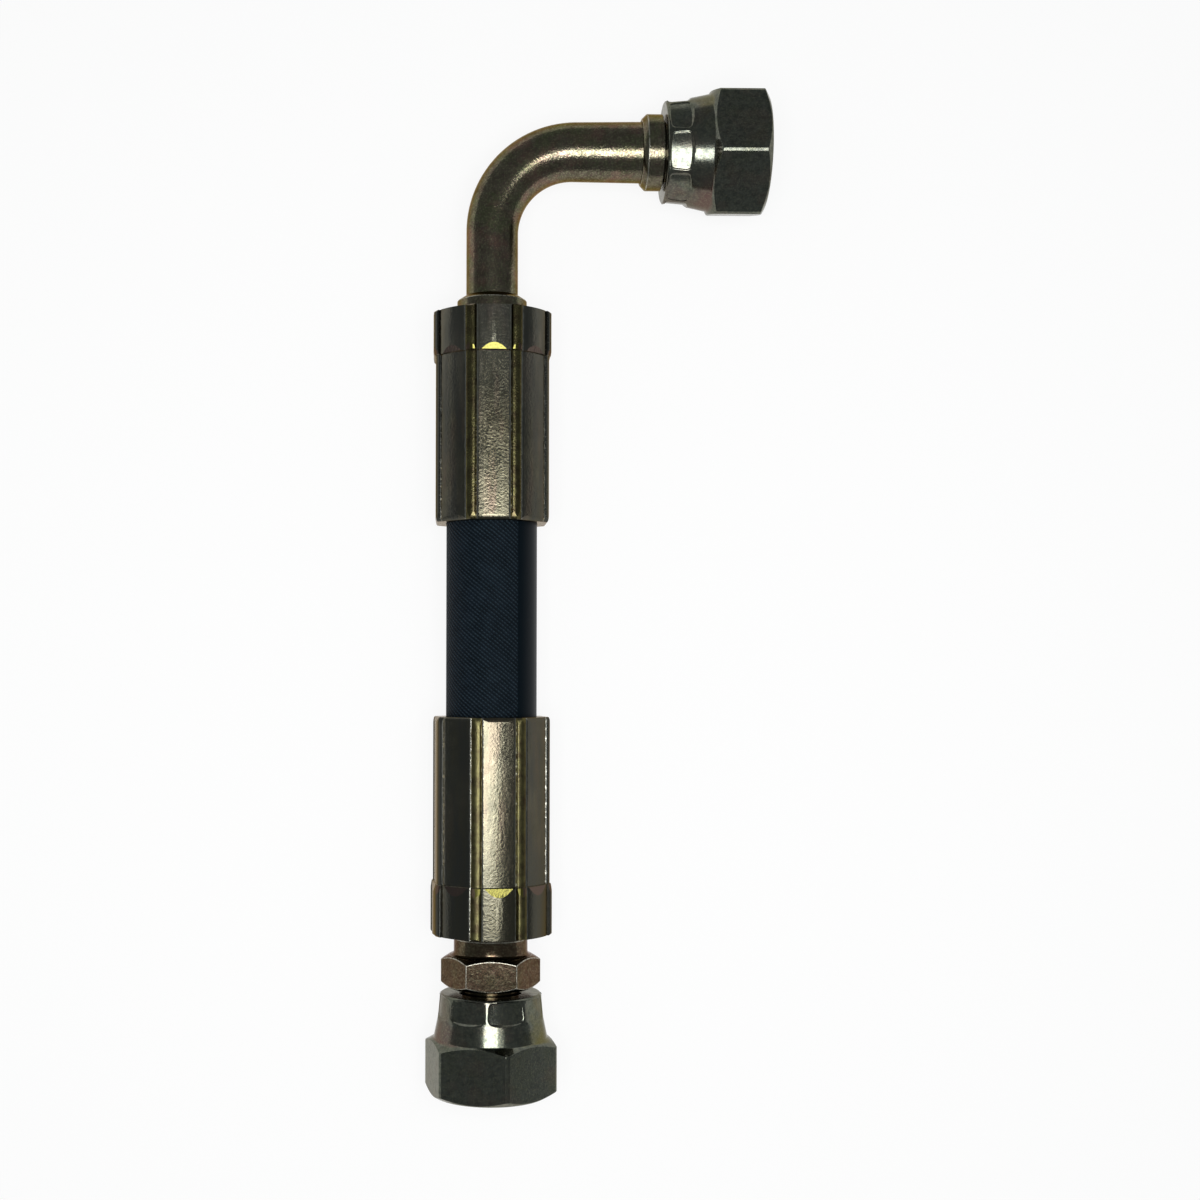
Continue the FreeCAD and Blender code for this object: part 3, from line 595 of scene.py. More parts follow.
def ferrule_zinc(name, facing, step, slope, tone, near_step, far_on, land_dullness):
    """Zinc plated steel squeezed by crimping dies after plating.

    The dies burnish the flats to a greyer metal and leave smears along the ferrule and
    small pits where the plating broke. The lands between them and the slope at the step
    keep the yellow green film, and the flats' edges are rubbed bright. Light and shade
    are painted in as well. The flats and lands round the sides, away from the lamp, are
    darkened with streaks as painted shade and painted reflection of the dim room, and the
    slope's yellow film lies only on the flat that faces the lamp, as a painted highlight
    colour. The tone covers one share of the film near the step and another twelve
    millimetres on towards the hose. It darkens the straight ferrule's film at its shoulder
    and towards the step, and on the elbow ferrule it is the rubbed colour, painted light
    that lightens the shoulder. The real pits and grain are under 0.1 mm wide, too fine
    to show, so they are drawn 0.3 and 0.38 mm wide.
    """
    material, node, shader, place = new_material(name)
    finish, ferrule = settings("finish", "ferrule")
    towards_hose = math.copysign(1, slope)
    half_pitch = math.pi / ferrule.segments
    half_land = (ferrule.land_crown * math.sin(ferrule.land_top_turn)
                 + ferrule.land_side * math.sin(ferrule.land_turn - ferrule.land_top_turn))
    land_edge = half_pitch - half_land / ferrule.body_lands * 2
    rub, blur, stray = (math.radians(degrees) for degrees in (2.4, 0.6, 0.5))
    # A surface that leans more than this along the hose is a slope or an end face.
    slope_lean, face_lean = 0.06, 0.6

    angle, station = round_hose(node, place)
    wander = patches(node, place, 0.6, 3, 0.3, 0.7, -facing - stray, -facing + stray)
    angle = node("Math", angle, wander)
    from_flat = node("Math", angle, half_pitch, operation="PINGPONG")
    lean = node("SeparateXYZ", node("NewGeometry", out="True Normal"), out="Y")
    round_side = node("Math", lean, 0, face_lean, operation="COMPARE")
    on_land, beyond_flat = (
        node("Math", node("MapRange", from_flat, start, end), round_side,
             operation="MULTIPLY")
        for start, end in ((land_edge - blur, land_edge), (land_edge - rub, land_edge - rub / 2)))
    lean = node("Math", lean, towards_hose, operation="MULTIPLY")
    by_step = node("Math", station, step + slope / 2, abs(slope) / 2, operation="COMPARE")
    sloping = node("Math", lean, slope_lean, operation="GREATER_THAN")
    on_slope = node("Math", by_step, sloping, operation="MULTIPLY")
    # The flat that faces the lamp, and the reach of one more flat each side of it. The painted
    # light below is laid by these masks.
    facing_lamp = node("Math", angle, 0, half_pitch, operation="COMPARE")
    near = node("Math", angle, 0, 2 * half_pitch, operation="COMPARE")

    stretched = node("Mapping", place, Scale=(1, 0.16, 1))
    smears = patches(node, stretched, 0.5, 5, 0.35, 0.65, roughness=0.65)
    blotches = patches(node, place, 1.6, 5, 0.36, 0.64, roughness=0.65)
    # Share of the tone by station: full at the step and the shoulder, fading over twelve
    # millimetres towards the hose. On the elbow ferrule it is painted light, which lightens the
    # shoulder.
    step_tone = node("MapRange", station, step, step + 12 * MM * towards_hose, near_step, far_on)
    base = coated(
        node, finish.silver_dark,
        (blotches, finish.silver_light),
        (node("MapRange", smears, 0, 1, 0, 0.4), finish.silver_dark),
        (patches(node, place, 5, 3, 0.5, 0.66, 0, 0.6), finish.zinc_light),
        (patches(node, stretched, 1.8, 4, 0.48, 0.62, 0, 0.2), finish.zinc_pink),
        (step_tone, tone))
    # Painted shade and painted reflection: every flat but the one facing the lamp is darkened,
    # with streaks that stand in for the dim room mirrored in them.
    streaks = patches(node, stretched, 1.4, 3, 0.35, 0.65, 0.9, 0.35)
    shaded_sides = coated(node, base, (streaks, finish.silver_painted_shade))
    film = coated(node, finish.land_dark, (blotches, finish.land_light))
    base = coated(
        node, base,
        # Painted shade: the darkened colour goes on all but the flat that faces the lamp.
        (node("MapRange", facing_lamp, 0, 1, 1, 0), shaded_sides),
        (patches(node, place, 0.3, 2, 0.6, 0.68, 0, 0.5), finish.zinc_dark),
        (beyond_flat, finish.rubbed),
        # Painted shade: lands beyond the two beside the facing flat take the dark side colour
        # instead of their film.
        (on_land, coated(node, finish.silver_painted_shade, (near, film))),
        (node("MapRange", on_slope, 0, 1, 0, 0.6), finish.zinc_mauve),
        # Painted highlight colour: the slope's yellow film goes only on the flat that faces the
        # lamp.
        (node("Math", on_slope, facing_lamp, operation="MULTIPLY"), finish.film))
    fine = node("TexNoise", place, fineness(0.17), 1)
    rough = node("Math", node("MapRange", smears, 0, 1, 0.14, 0.21),
                 node("MapRange", fine, 0.3, 0.7, -0.03, 0.05))
    rough = node("Math", rough, node("MapRange", on_land, 0, 1, 0, land_dullness))
    waves = node("Bump", Distance=0.022 * MM, Height=node("TexNoise", place, fineness(0.38), 2))
    bumps = node("Bump", Distance=0.006 * MM, Height=fine, Normal=waves)
    connect(shader, {"Base Color": base, "Roughness": rough, "Normal": bumps,
                     "Metallic": 1, "Specular Tint": finish.zinc_edge})
    return material


def cover_rubber():
    """Synthetic rubber cover, cured in a wrapping of woven nylon tape.

    The tape leaves a fine imprint of its weave, which the eye reads as a dull twill, and
    a smooth strip where a marking band lay under it. The crests of the imprint are
    painted lighter, as painted highlights where the lamp glints on them. The real threads
    are about 0.4 mm apart, which is too fine to show, so they are drawn 0.5 mm apart.
    """
    material, node, shader, place = new_material("cured_cover_rubber")
    finish, cover = settings("finish", "cover")
    angle, station = round_hose(node, place)
    warp, weft = crossing_threads(node, angle, station, cover.radius, (-52, 38),
                                  cover.weave_pitch, 0.6, 1)
    weave = node("Math", node("Math", warp, weft, operation="MULTIPLY"), warp)
    past_start = node("Math", angle, cover.strip_start, operation="GREATER_THAN")
    before_end = node("Math", angle, cover.strip_end, operation="LESS_THAN")
    strip = node("Math", past_start, before_end, operation="MULTIPLY")
    # Painted highlight: the weave's crests are laid in a lighter colour.
    highlit_crests = node("Math", weave, patches(node, place, 1.2, 3, 0.3, 0.7, -0.25, 0.15))
    base = coated(
        node, finish.rubber,
        (patches(node, place, 1.8, 4, 0.4, 0.7, 0, 0.3), finish.rubber_dust),
        (node("MapRange", highlit_crests, 0.55, 1.95), finish.rubber_crest_highlight),
        (strip, finish.rubber_strip))
    woven = node("Math", 1, strip, operation="SUBTRACT")
    imprint = node("Math", weave, woven, operation="MULTIPLY")
    relief = node("Bump", Distance=0.06 * MM, Height=imprint)
    waves = node("Bump", Distance=0.01 * MM, Normal=relief,
                 Height=node("TexNoise", place, fineness(0.9), 2))
    connect(shader, {"Base Color": base, "Normal": waves, "Specular IOR Level": 0.06,
                     "Roughness": node("MapRange", strip, 0, 1, 0.6, 0.4)})
    return material


def moulded_rubber(name, shade):
    """Moulded nitrile rubber, smooth and slightly oily, with a fine bloom.

    The grain of its skin is too fine to show, so it is drawn 0.2 mm wide.
    """
    material, node, shader, place = new_material(name)
    bloom = patches(node, place, 0.8, 4, 0.35, 0.7, 0, 0.35)
    skin = node("TexNoise", place, fineness(0.2), 2)
    connect(shader, {"Base Color": coated(node, shade, (bloom, settings("finish").bloom)),
                     "Roughness": patches(node, place, 0.5, 3, 0.3, 0.7, 0.35, 0.55),
                     "Normal": node("Bump", Distance=0.004 * MM, Height=skin)})
    return material


def braid_wire():
    """Brass coated steel wire in a plaited sleeve, which shows as crossing bright lines."""
    material, node, shader, place = new_material("brass_coated_wire_braid")
    finish = settings("finish")
    middle_radius, wire = 4.6 * MM, 0.25 * MM
    threads = crossing_threads(node, *round_hose(node, place), middle_radius, (54, -54), wire)
    plait = node("Math", *threads, operation="MAXIMUM")
    connect(shader, {"Base Color": coated(node, finish.wire_gap, (plait, finish.wire)),
                     "Normal": node("Bump", Distance=0.05 * MM, Height=plait),
                     "Metallic": 1, "Roughness": 0.35})
    return material


def paper():
    """Seamless matt paper, which gives a pale ground with a soft shadow."""
    material, node, shader, place = new_material("seamless_matt_paper")
    stage = settings("stage")
    mottle = patches(node, place, 0.6, 2, 0.3, 0.7)
    base = coated(node, stage.paper, (mottle, [0.985 * v for v in stage.paper]))
    connect(shader, {"Base Color": base, "Roughness": 0.9, "Specular IOR Level": 0.1})
    rays = node("LightPath").node.outputs
    seen = node("Math", rays["Is Camera Ray"], rays["Is Glossy Ray"], operation="MAXIMUM")
    seen = node("Math", seen, rays["Is Transmission Ray"], operation="MAXIMUM")
    share = node("Math", seen, stage.paper_glow, operation="MULTIPLY")
    mixed = node("MixShader", share, shader.outputs["BSDF"], node("Emission"))
    connect(material.node_tree.nodes["Material Output"], {"Surface": mixed})
    return material


def cone_radius(stem, station):
    return stem.tip / 2 + station * math.tan(stem.cone_angle)


def nose_outline(stem):
    """Outside of a sealing nose from its tip to the neck behind the flange."""
    cone_length = (stem.cone - stem.tip) / 2 / math.tan(stem.cone_angle)
    flange_start = cone_length + stem.cone_back
    flange_front = flange_start + (stem.flange - stem.cone) / 2
    flange_back = flange_front + stem.flange_length
    groove_start = stem.groove_station - stem.groove_width / 2
    groove_end = stem.groove_station + stem.groove_width / 2
    return [
        (0, cone_radius(stem, 0) - stem.tip_chamfer),
        (stem.tip_chamfer, cone_radius(stem, stem.tip_chamfer)),
        (groove_start, cone_radius(stem, groove_start)),
        (groove_start, stem.groove / 2),
        (groove_end, stem.groove / 2),
        (groove_end, cone_radius(stem, groove_end)),
        (cone_length, stem.cone / 2),
        (flange_start, stem.cone / 2),
        (flange_front, stem.flange / 2),
        (flange_back, stem.flange / 2),
        (flange_back + (stem.flange - stem.neck) / 2, stem.neck / 2),
    ]


def flow_bore(stem, deep_end):
    """Bore from its deep end to its chamfer at the cone's tip."""
    radius = stem.flow_bore / 2
    return [(deep_end, radius), (stem.bore_chamfer, radius), (0, radius + stem.bore_chamfer)]


def hexagon_blank(start, end, across_flats):
    """Outside of a blank with the chamfers that the flats leave at its corners."""
    face, blank = across_flats / 2 * HEX_FACE, across_flats / 2 * HEX_BLANK
    slope = (blank - face) * math.tan(math.radians(30))
    return [(start, face), (start + slope, blank), (end - slope, blank), (end, face)]


def tail_outline(stem, ferrule, ferrule_length):
    """Outside of an insert tail, counted from the ferrule's face into the hose."""
    tail_radius = stem.tail / 2
    tail_end = ferrule_length - stem.tail_setback
    collar_end = ferrule.end_wall + stem.lock_collar_length
    outline = [
        (0, ferrule.lock_radius),
        (ferrule.end_wall, ferrule.lock_radius),
        (ferrule.end_wall, stem.lock_collar / 2),
        (collar_end, stem.lock_collar / 2),
        (collar_end, tail_radius),
    ]
    first_barb = collar_end + stem.barb_pitch
    for k in range(int((tail_end - stem.tail_chamfer - first_barb) / stem.barb_pitch)):
        station = first_barb + k * stem.barb_pitch
        outline += [(station, tail_radius), (station, tail_radius - stem.barb_depth),
                    (station + stem.barb_ramp, tail_radius)]
    return outline + [(tail_end - stem.tail_chamfer, tail_radius),
                      (tail_end, tail_radius - stem.tail_chamfer / 2)]


def crimp_prism(ferrule, across_flats, lands, crown_radius, start, end, facing):
    """Bar with domed flats and a rounded ridge between each pair, set in fine grooves.

    One flat and one ridge are spun and extruded from a single vertex, copied round and
    pulled along the axis.
    """
    pitch = math.tau / ferrule.segments
    edge_turn, top_turn = ferrule.flat_edge_turn, ferrule.land_top_turn
    side_turn = ferrule.land_turn - top_turn
    land_centre = polar(lands / 2 - ferrule.land_crown, pitch / 2, start)
    first_side, second_side = (
        land_centre + polar(ferrule.land_crown - ferrule.land_side, pitch / 2 + angle, 0)
        for angle in (-top_turn, top_turn))
    land_start = first_side + polar(ferrule.land_side, pitch / 2 - ferrule.land_turn, 0)
    land_end = second_side + polar(ferrule.land_side, pitch / 2 + ferrule.land_turn, 0)
    level = crown_radius - ferrule.flat_edge * (1 - math.cos(edge_turn))
    fall = ferrule.flat_edge * math.sin(edge_turn)
    crown_half = (math.asin((land_start.x - ferrule.groove) / math.hypot(level, fall))
                  - math.atan2(fall, level))
    crown_centre = Vector((0, start, across_flats / 2 - crown_radius))
    flat_end = crown_centre + polar(crown_radius, crown_half, 0)
    edge_centre = flat_end - polar(ferrule.flat_edge, crown_half, 0)
    edge_end = edge_centre + polar(ferrule.flat_edge, crown_half + edge_turn, 0)
    flip, onward = Matrix.Diagonal((-1, 1, 1)), Matrix.Rotation(pitch, 3, "Y")
    axis = (0, -1, 0)

    bpy.ops.mesh.primitive_plane_add(size=MM, location=flip @ edge_end)
    piece = named("crimp_prism")
    edit(piece, VERTICES, "SELECT")
    bpy.ops.mesh.merge(type="CENTER")
    bpy.ops.mesh.select_all(action="SELECT")
    for steps, angle, centre, straight_on in (
        (6, edge_turn, flip @ edge_centre, None),
        (24, 2 * crown_half, crown_centre, None),
        (6, edge_turn, edge_centre, land_start - edge_end),
        (6, side_turn, first_side, None),
        (8, 2 * top_turn, land_centre, None),
        (6, side_turn, second_side, onward @ flip @ edge_end - land_end),
    ):
        bpy.ops.mesh.spin(steps=steps, angle=angle, center=centre, axis=axis)
        if straight_on:
            pull(straight_on)
    bpy.ops.mesh.select_all(action="SELECT")
    bpy.ops.mesh.spin(steps=ferrule.segments, angle=math.tau, dupli=True,
                      center=(0, start, 0), axis=axis)
    bpy.ops.mesh.select_all(action="SELECT")
    bpy.ops.mesh.remove_doubles(threshold=0.002 * MM)
    bpy.ops.transform.rotate(value=-facing, orient_axis="Y", center_override=(0, start, 0))
    bpy.ops.mesh.edge_face_add()
    pull((0, end - start, 0))
    return closed(piece)


def ferrule_inside(ferrule, cover, ferrule_length):
    """Bore of a ferrule: hole in the end wall, teeth and the flare at the mouth."""
    root = cover.bite + ferrule.tooth_depth
    mouth = cover.radius + ferrule.mouth_room
    first = ferrule.end_wall + ferrule.first_tooth
    flare_start = ferrule_length - ferrule.flare
    tooth = ferrule.tooth_depth + ferrule.tooth_crest
    outline = [(-MM, ferrule.lock_radius), (ferrule.end_wall, ferrule.lock_radius),
               (ferrule.end_wall, root)]
    for k in range(int((flare_start - tooth - first) / ferrule.tooth_pitch)):
        station = first + (k + 1) * ferrule.tooth_pitch - tooth
        outline += [(station, root), (station + ferrule.tooth_depth, cover.bite),
                    (station + tooth, cover.bite), (station + tooth, root)]
    return outline + [
        (flare_start - tooth, root),
        (flare_start - ferrule.tooth_crest, cover.bite),
        (flare_start, cover.bite),
        (flare_start + ferrule.flare_length, mouth),
        (ferrule_length + MM, mouth),
    ]


def crimped_ferrule(name, ferrule_length, shoulder, slope, drop, facing):
    """Ferrule along +Y from its face at the origin to its rounded mouth."""
    ferrule, cover = settings("ferrule", "cover")
    half_pitch = math.pi / ferrule.segments
    flat_sides = {"sides": ferrule.segments, "first_corner": facing + half_pitch}
    corner = 1 / math.cos(half_pitch)
    slope_end = shoulder + slope
    step_end = slope_end + ferrule.step
    overlap = 0.2 * MM
    body_radius, shoulder_radius = ferrule.body_lands / 2, ferrule.shoulder_lands / 2

    piece = crimp_prism(ferrule, ferrule.shoulder_flats, ferrule.shoulder_lands,
                        ferrule.shoulder_crown, 0, step_end, facing)
    combine(piece, solid("die_end", [
        (-MM, ferrule.shoulder_flats / 2 * corner),
        (shoulder, ferrule.shoulder_flats / 2 * corner),
        (slope_end, (ferrule.shoulder_flats / 2 - drop) * corner),
        (step_end, ferrule.body_flats / 2 * corner),
        (step_end + MM, ferrule.body_flats / 2 * corner),
    ], **flat_sides), "INTERSECT")
    combine(piece, solid("shoulder_blank", [
        (-MM, shoulder_radius - ferrule.face_chamfer - MM),
        (ferrule.face_chamfer, shoulder_radius),
        (shoulder, shoulder_radius),
        (step_end + MM, body_radius),
    ]), "INTERSECT")

    body = crimp_prism(ferrule, ferrule.body_flats, ferrule.body_lands, ferrule.body_crown,
                       step_end - overlap, ferrule_length, facing)
    lip = [(ferrule_length - ferrule.lip_length * (1 - math.sin(a)),
            (ferrule.body_flats / 2 - ferrule.lip_drop * (1 - math.cos(a))) * corner)
           for a in quarter_turn(14)[1:]]
    combine(body, solid("lip_blank", [
        (0, body_radius + MM), (lip[0][0], body_radius + MM)] + lip, **flat_sides), "INTERSECT")
    combine(piece, body, "UNION")
    inside = solid("ferrule_inside", ferrule_inside(ferrule, cover, ferrule_length))
    combine(piece, inside, "DIFFERENCE")
    edit(piece, VERTICES, "SELECT")
    bpy.ops.mesh.remove_doubles(threshold=0.01 * MM)
    closed(piece)
    piece.name = piece.data.name = name
    return piece


class HOSE_OT_stage(bpy.types.Operator):
    """Lays the pale paper, hangs the lamps and sets the camera over the hose"""

    bl_idname = "hose.stage"
    bl_label = "Stage"

    def execute(self, context):
        stage = settings("stage")
        aim = Vector((0, stage.aim_station, 0))
        bpy.ops.mesh.primitive_plane_add(size=3, location=aim + Vector((0, 0, CAD_BOX[0].z)))
        floor = named("paper_floor")
        floor.data.materials.append(paper())
        # Each lamp's place and size in millimetres, its power, and whether metal mirrors it.
        for name, place, (width, height), watts, mirrored in (
            ("key_softbox", (0, 47.5, 275), (130, 109), stage.key_power, True),
            ("side_softbox", (95, 92, 275), (60, 44), stage.side_power, True),
            ("left_fill", (-900, 60, 1100), (900, 900), stage.fill_power, False),
            ("right_fill", (900, 60, 1100), (900, 900), stage.fill_power, False),
        ):
            bpy.ops.object.light_add(type="AREA", location=Vector(place) * MM)
            lamp = context.object
            lamp.name = lamp.data.name = name
            if not mirrored:
                lamp.rotation_euler = (aim - lamp.location).to_track_quat("-Z", "Y").to_euler()
            lamp.data.shape = "RECTANGLE"
            lamp.data.size, lamp.data.size_y = width * MM, height * MM
            lamp.data.energy = watts
            lamp.visible_glossy = mirrored
            lamp.visible_camera = False
        self.light_room(context, stage)
        self.place_camera(context, stage, aim)
        context.scene.view_settings.view_transform = "Standard"
        return {"FINISHED"}

    def light_room(self, context, stage):
        """Dim plain room, lighter towards eye level than overhead."""
        world = bpy.data.worlds.new("dim_room")
        world.use_nodes = True
        context.scene.world = world
        node = partial(add, world.node_tree)
        height = node("SeparateXYZ", node("TexCoord", out="Generated"), out="Z")
        shade = coated(node, stage.horizon, (node("MapRange", height, 0, 0.5), stage.zenith))
        connect(world.node_tree.nodes["Background"], {"Color": shade})

    def place_camera(self, context, stage, aim):
        """The photograph's view: almost straight down on the hose."""
        turned_by = (Matrix.Rotation(stage.roll, 3, "Z") @ Matrix.Rotation(stage.pitch, 3, "X")
                     @ Matrix.Rotation(stage.yaw, 3, "Y")).transposed()
        bpy.ops.object.camera_add()
        camera = context.object
        camera.matrix_world = Matrix.LocRotScale(
            aim + turned_by @ Vector((0, 0, stage.camera_height)), turned_by, None)
        camera.data.lens = stage.lens
        camera.data.shift_x, camera.data.shift_y = stage.shift_x, stage.shift_y
        camera.data.clip_start, camera.data.clip_end = 10 * MM, 10
        context.scene.camera = camera


class HOSE_OT_cover(bpy.types.Operator):
    """Models the rubber cover, squeezed under both ferrules, with its smooth marking strip"""

    bl_idname = "hose.cover"
    bl_label = "Hose cover"

    def execute(self, context):
        cover, ferrule = settings("cover", "ferrule")
        squeeze = (cover.bite - cover.bore / 2) / (cover.radius - cover.bore / 2)
        inner = cover.radius - cover.wall
        tight = cover.bore / 2 + (inner - cover.bore / 2) * squeeze
        inset = ferrule.end_wall + ferrule.first_tooth
        ends = [
            (STRAIGHT_FACE + inset, True),
            (STRAIGHT_MOUTH - cover.flare, True),
            (STRAIGHT_MOUTH - cover.swell, False),
            (ELBOW_MOUTH + cover.swell, False),
            (ELBOW_MOUTH + cover.flare, True),
            (ELBOW_FACE - inset, True),
        ]
        outside = [(station, cover.bite if held else cover.radius) for station, held in ends]
        inside = [(station, tight if held else inner) for station, held in ends]
        piece = turned("rubber_cover", outside + inside[::-1], sides=180)
        self.raise_strip(piece, cover)
        ease(piece, cover.edge, 40)
        fit(piece, "hose_body", cover_rubber(), "hose_cover")
        return {"FINISHED"}

    def raise_strip(self, piece, cover):
        """Lifts the outside faces of the strip, which are the free hose's widest ones."""
        chosen = []
        for face in piece.data.polygons:
            middle = face.center
            widest = math.hypot(middle.x, middle.z) > cover.radius - 0.05 * MM
            in_strip = cover.strip_start < math.atan2(middle.x, middle.z) < cover.strip_end
            chosen.append(widest and in_strip)
        if not any(chosen):
            raise RuntimeError("the cover has no faces for its marking strip")
        edit(piece, FACES)
        bpy.ops.object.mode_set(mode="OBJECT")
        piece.data.polygons.foreach_set("select", chosen)
        bpy.ops.object.mode_set(mode="EDIT")
        bpy.ops.mesh.extrude_region_shrink_fatten(
            TRANSFORM_OT_shrink_fatten={"value": cover.strip_height})
        closed(piece)


class HOSE_OT_hidden_layers(bpy.types.Operator):
    """Finishes the hose's inner layers and the O-rings, whose CAD shapes are right"""

    bl_idname = "hose.hidden_layers"
    bl_label = "Inner layers and seals"

    def execute(self, context):
        finish = settings("finish")
        lining = moulded_rubber("extruded_tube_rubber", finish.tube_rubber)
        seal = moulded_rubber("moulded_seal_rubber", finish.seal_rubber)
        for material, nodes in (
            (lining, ("hose_inner_tube", "hose_interlayer")),
            (braid_wire(), ("hose_inner_braid", "hose_outer_braid")),
            (seal, ("straight_cone_o_ring", "elbow_cone_o_ring")),
        ):
            for node in nodes:
                frame["nodes"][node].data.materials.clear()
                frame["nodes"][node].data.materials.append(material)
        return {"FINISHED"}


class HOSE_OT_ferrules(bpy.types.Operator):
    """Models the two crimped ferrules"""

    bl_idname = "hose.ferrules"
    bl_label = "Crimped ferrules"

    def execute(self, context):
        ferrule, finish = settings("ferrule", "finish")
        # The tones: the straight ferrule's film turns darker at its shoulder and towards its step,
        # and the elbow's shoulder is lightened with the rubbed colour, a painted light.
        for end, node, face, mouth, tone, near_step, far_on, land_dullness in (
            ("straight", "straight_ferrule", STRAIGHT_FACE, STRAIGHT_MOUTH,
             finish.silver_dark, 1.0, 0.4, 0.2),
            ("elbow", "elbow_ferrule", ELBOW_FACE, ELBOW_MOUTH,
             finish.rubbed, 0.3, 0.0, 0.05),
        ):
            shoulder, slope, drop, facing = (getattr(ferrule, f"{end}_{part}")
                                             for part in ("shoulder", "slope", "drop", "turn"))
            way = 1 if mouth > face else -1
            piece = crimped_ferrule(f"{end}_crimped_ferrule", way * (mouth - face),
                                    shoulder, slope, drop, facing)
            moved(piece, (0, face, 0), 0 if way > 0 else 180)
            material = ferrule_zinc(f"crimped_zinc_{end}_ferrule", way * facing,
                                    face + way * shoulder, way * slope,
                                    tone, near_step, far_on, land_dullness)
            fit(piece, "hose_body", material, node, smooth=9)
        return {"FINISHED"}


class HOSE_OT_straight_stem(bpy.types.Operator):
    """Models the straight stem with its nose, spanner hexagon and barbed tail"""

    bl_idname = "hose.straight_stem"
    bl_label = "Straight stem"

    def execute(self, context):
        stem, ferrule = settings("stem", "ferrule")
        hex_end = stem.hex_station + stem.hex_length
        ring_start = STRAIGHT_FACE - stem.stem_ring_length
        neck = stem.stem_neck / 2
        hollow = [(hex_end + stem.fillet * (1 - math.cos(a)),
                   neck + stem.fillet * (1 - math.sin(a))) for a in quarter_turn(4)]
        tail = [(STRAIGHT_FACE + station, radius) for station, radius
                in tail_outline(stem, ferrule, STRAIGHT_MOUTH - STRAIGHT_FACE)]
        piece = turned("straight_stem_with_hexagon", [
            *nose_outline(stem),
            (stem.hex_station, stem.neck / 2),
            *hexagon_blank(stem.hex_station, hex_end, stem.hex_flats),
            *hollow,
            (ring_start, neck),
            (ring_start, stem.stem_ring / 2),
            (STRAIGHT_FACE, stem.stem_ring / 2),
            *tail,
            *flow_bore(stem, tail[-1][0]),
        ])
        mill_flats(piece, 6, stem.hex_flats, math.radians(30))
        ease(piece, stem.edge, 25)
        material = zinc("turned_yellow_zinc_steel", "bronze", blotch=0.8, peel=0.24,
                        relief=0.005, tooth=0.002, polish=0.14, tint=0.15, flecked=0.25)
        fit(piece, "hose_body", material, "straight_stem")
        return {"FINISHED"}


class HOSE_OT_elbow_fittings(bpy.types.Operator):
    """Models the barbed tail and the sealing head that the bent tube joins"""

    bl_idname = "hose.elbow_fittings"
    bl_label = "Elbow tail and head"

    def execute(self, context):
        stem, ferrule, elbow = settings("stem", "ferrule", "elbow")
        material = zinc("turned_yellow_zinc_collar", "zinc", blotch=0.9, peel=0.24,
                        relief=0.016, tooth=0.004, polish=0.17, tint=0.6, flecked=0.3)
        ring_end = -elbow.tail_ring_length
        floor = ring_end + elbow.socket
        tail = tail_outline(stem, ferrule, ELBOW_FACE - ELBOW_MOUTH)
        piece = turned("elbow_barbed_tail", [
            (ring_end, elbow.tail / 2),
            (ring_end, elbow.tail_ring / 2 - elbow.tail_ring_chamfer),
            (ring_end + elbow.tail_ring_slope, elbow.tail_ring / 2),
            (0, elbow.tail_ring / 2),
            *tail,
            (tail[-1][0], stem.flow_bore / 2),
            (floor, stem.flow_bore / 2),
            (floor, elbow.tail / 2),
        ])
        moved(piece, (0, ELBOW_FACE, 0), 180)
        ease(piece, stem.edge, 25)
        fit(piece, "hose_body", material, "elbow_stem")

        ring_start = NUT_BACK + settings("nut").clearance
        ring_end = ring_start + elbow.head_ring_length
        piece = turned("elbow_sealing_head", [
            *nose_outline(stem),
            (ring_start, stem.neck / 2),
            (ring_start, elbow.head_ring / 2),
            (ring_end - elbow.head_ring_chamfer, elbow.head_ring / 2),
            (ring_end, elbow.head_ring / 2 - elbow.head_ring_chamfer),
            (ring_end, elbow.head / 2),
            (ring_end - elbow.socket, elbow.head / 2),
            *flow_bore(stem, ring_end - elbow.socket),
        ])
        moved(piece, OUTLET_TIP, 90)
        ease(piece, stem.edge, 25)
        fit(piece, "hose_body", material, "elbow_cone_head")
        return {"FINISHED"}


class HOSE_OT_elbow_tube(bpy.types.Operator):
    """Models the bent tube, which swells from the tail towards the head"""

    bl_idname = "hose.elbow_tube"
    bl_label = "Elbow tube"

    def execute(self, context):
        elbow = settings("elbow")
        start = ELBOW_FACE + elbow.tail_ring_length - elbow.socket
        bend_start = OUTLET_TIP.y - elbow.bend
        ring_end = NUT_BACK + settings("nut").clearance + elbow.head_ring_length
        reach = OUTLET_TIP.x - ring_end + elbow.socket - elbow.bend
        before, bend, after = 4, 28, 6
        outside = [(Vector((0, start + (bend_start - start) * k / before, 0)), 0,
                    elbow.tail / 2) for k in range(before)]
        for k, heading in enumerate(quarter_turn(bend)):
            centre = Vector((elbow.bend * (1 - math.cos(heading)),
                             bend_start + elbow.bend * math.sin(heading), 0))
            radius = (elbow.tail + (elbow.bend_end - elbow.tail) * k / bend) / 2
            outside.append((centre, -heading, radius))
        for k in range(1, after + 1):
            centre = Vector((elbow.bend + reach * k / after, OUTLET_TIP.y, 0))
            radius = (elbow.bend_end + (elbow.head - elbow.bend_end) * k / after) / 2
            outside.append((centre, -math.pi / 2, radius))
        inside = [(centre, heading, elbow.bore / 2) for centre, heading, _ in outside[::-1]]
        piece = swept("bent_tube", outside + inside, sides=96)
        material = zinc("bent_yellow_zinc_tube", "zinc", blotch=1.4, peel=0.3,
                        relief=0.024, tooth=0.006, polish=0.18, tint=0.6, flecked=0.35)
        fit(piece, "hose_body", material, "elbow_tube")
        return {"FINISHED"}


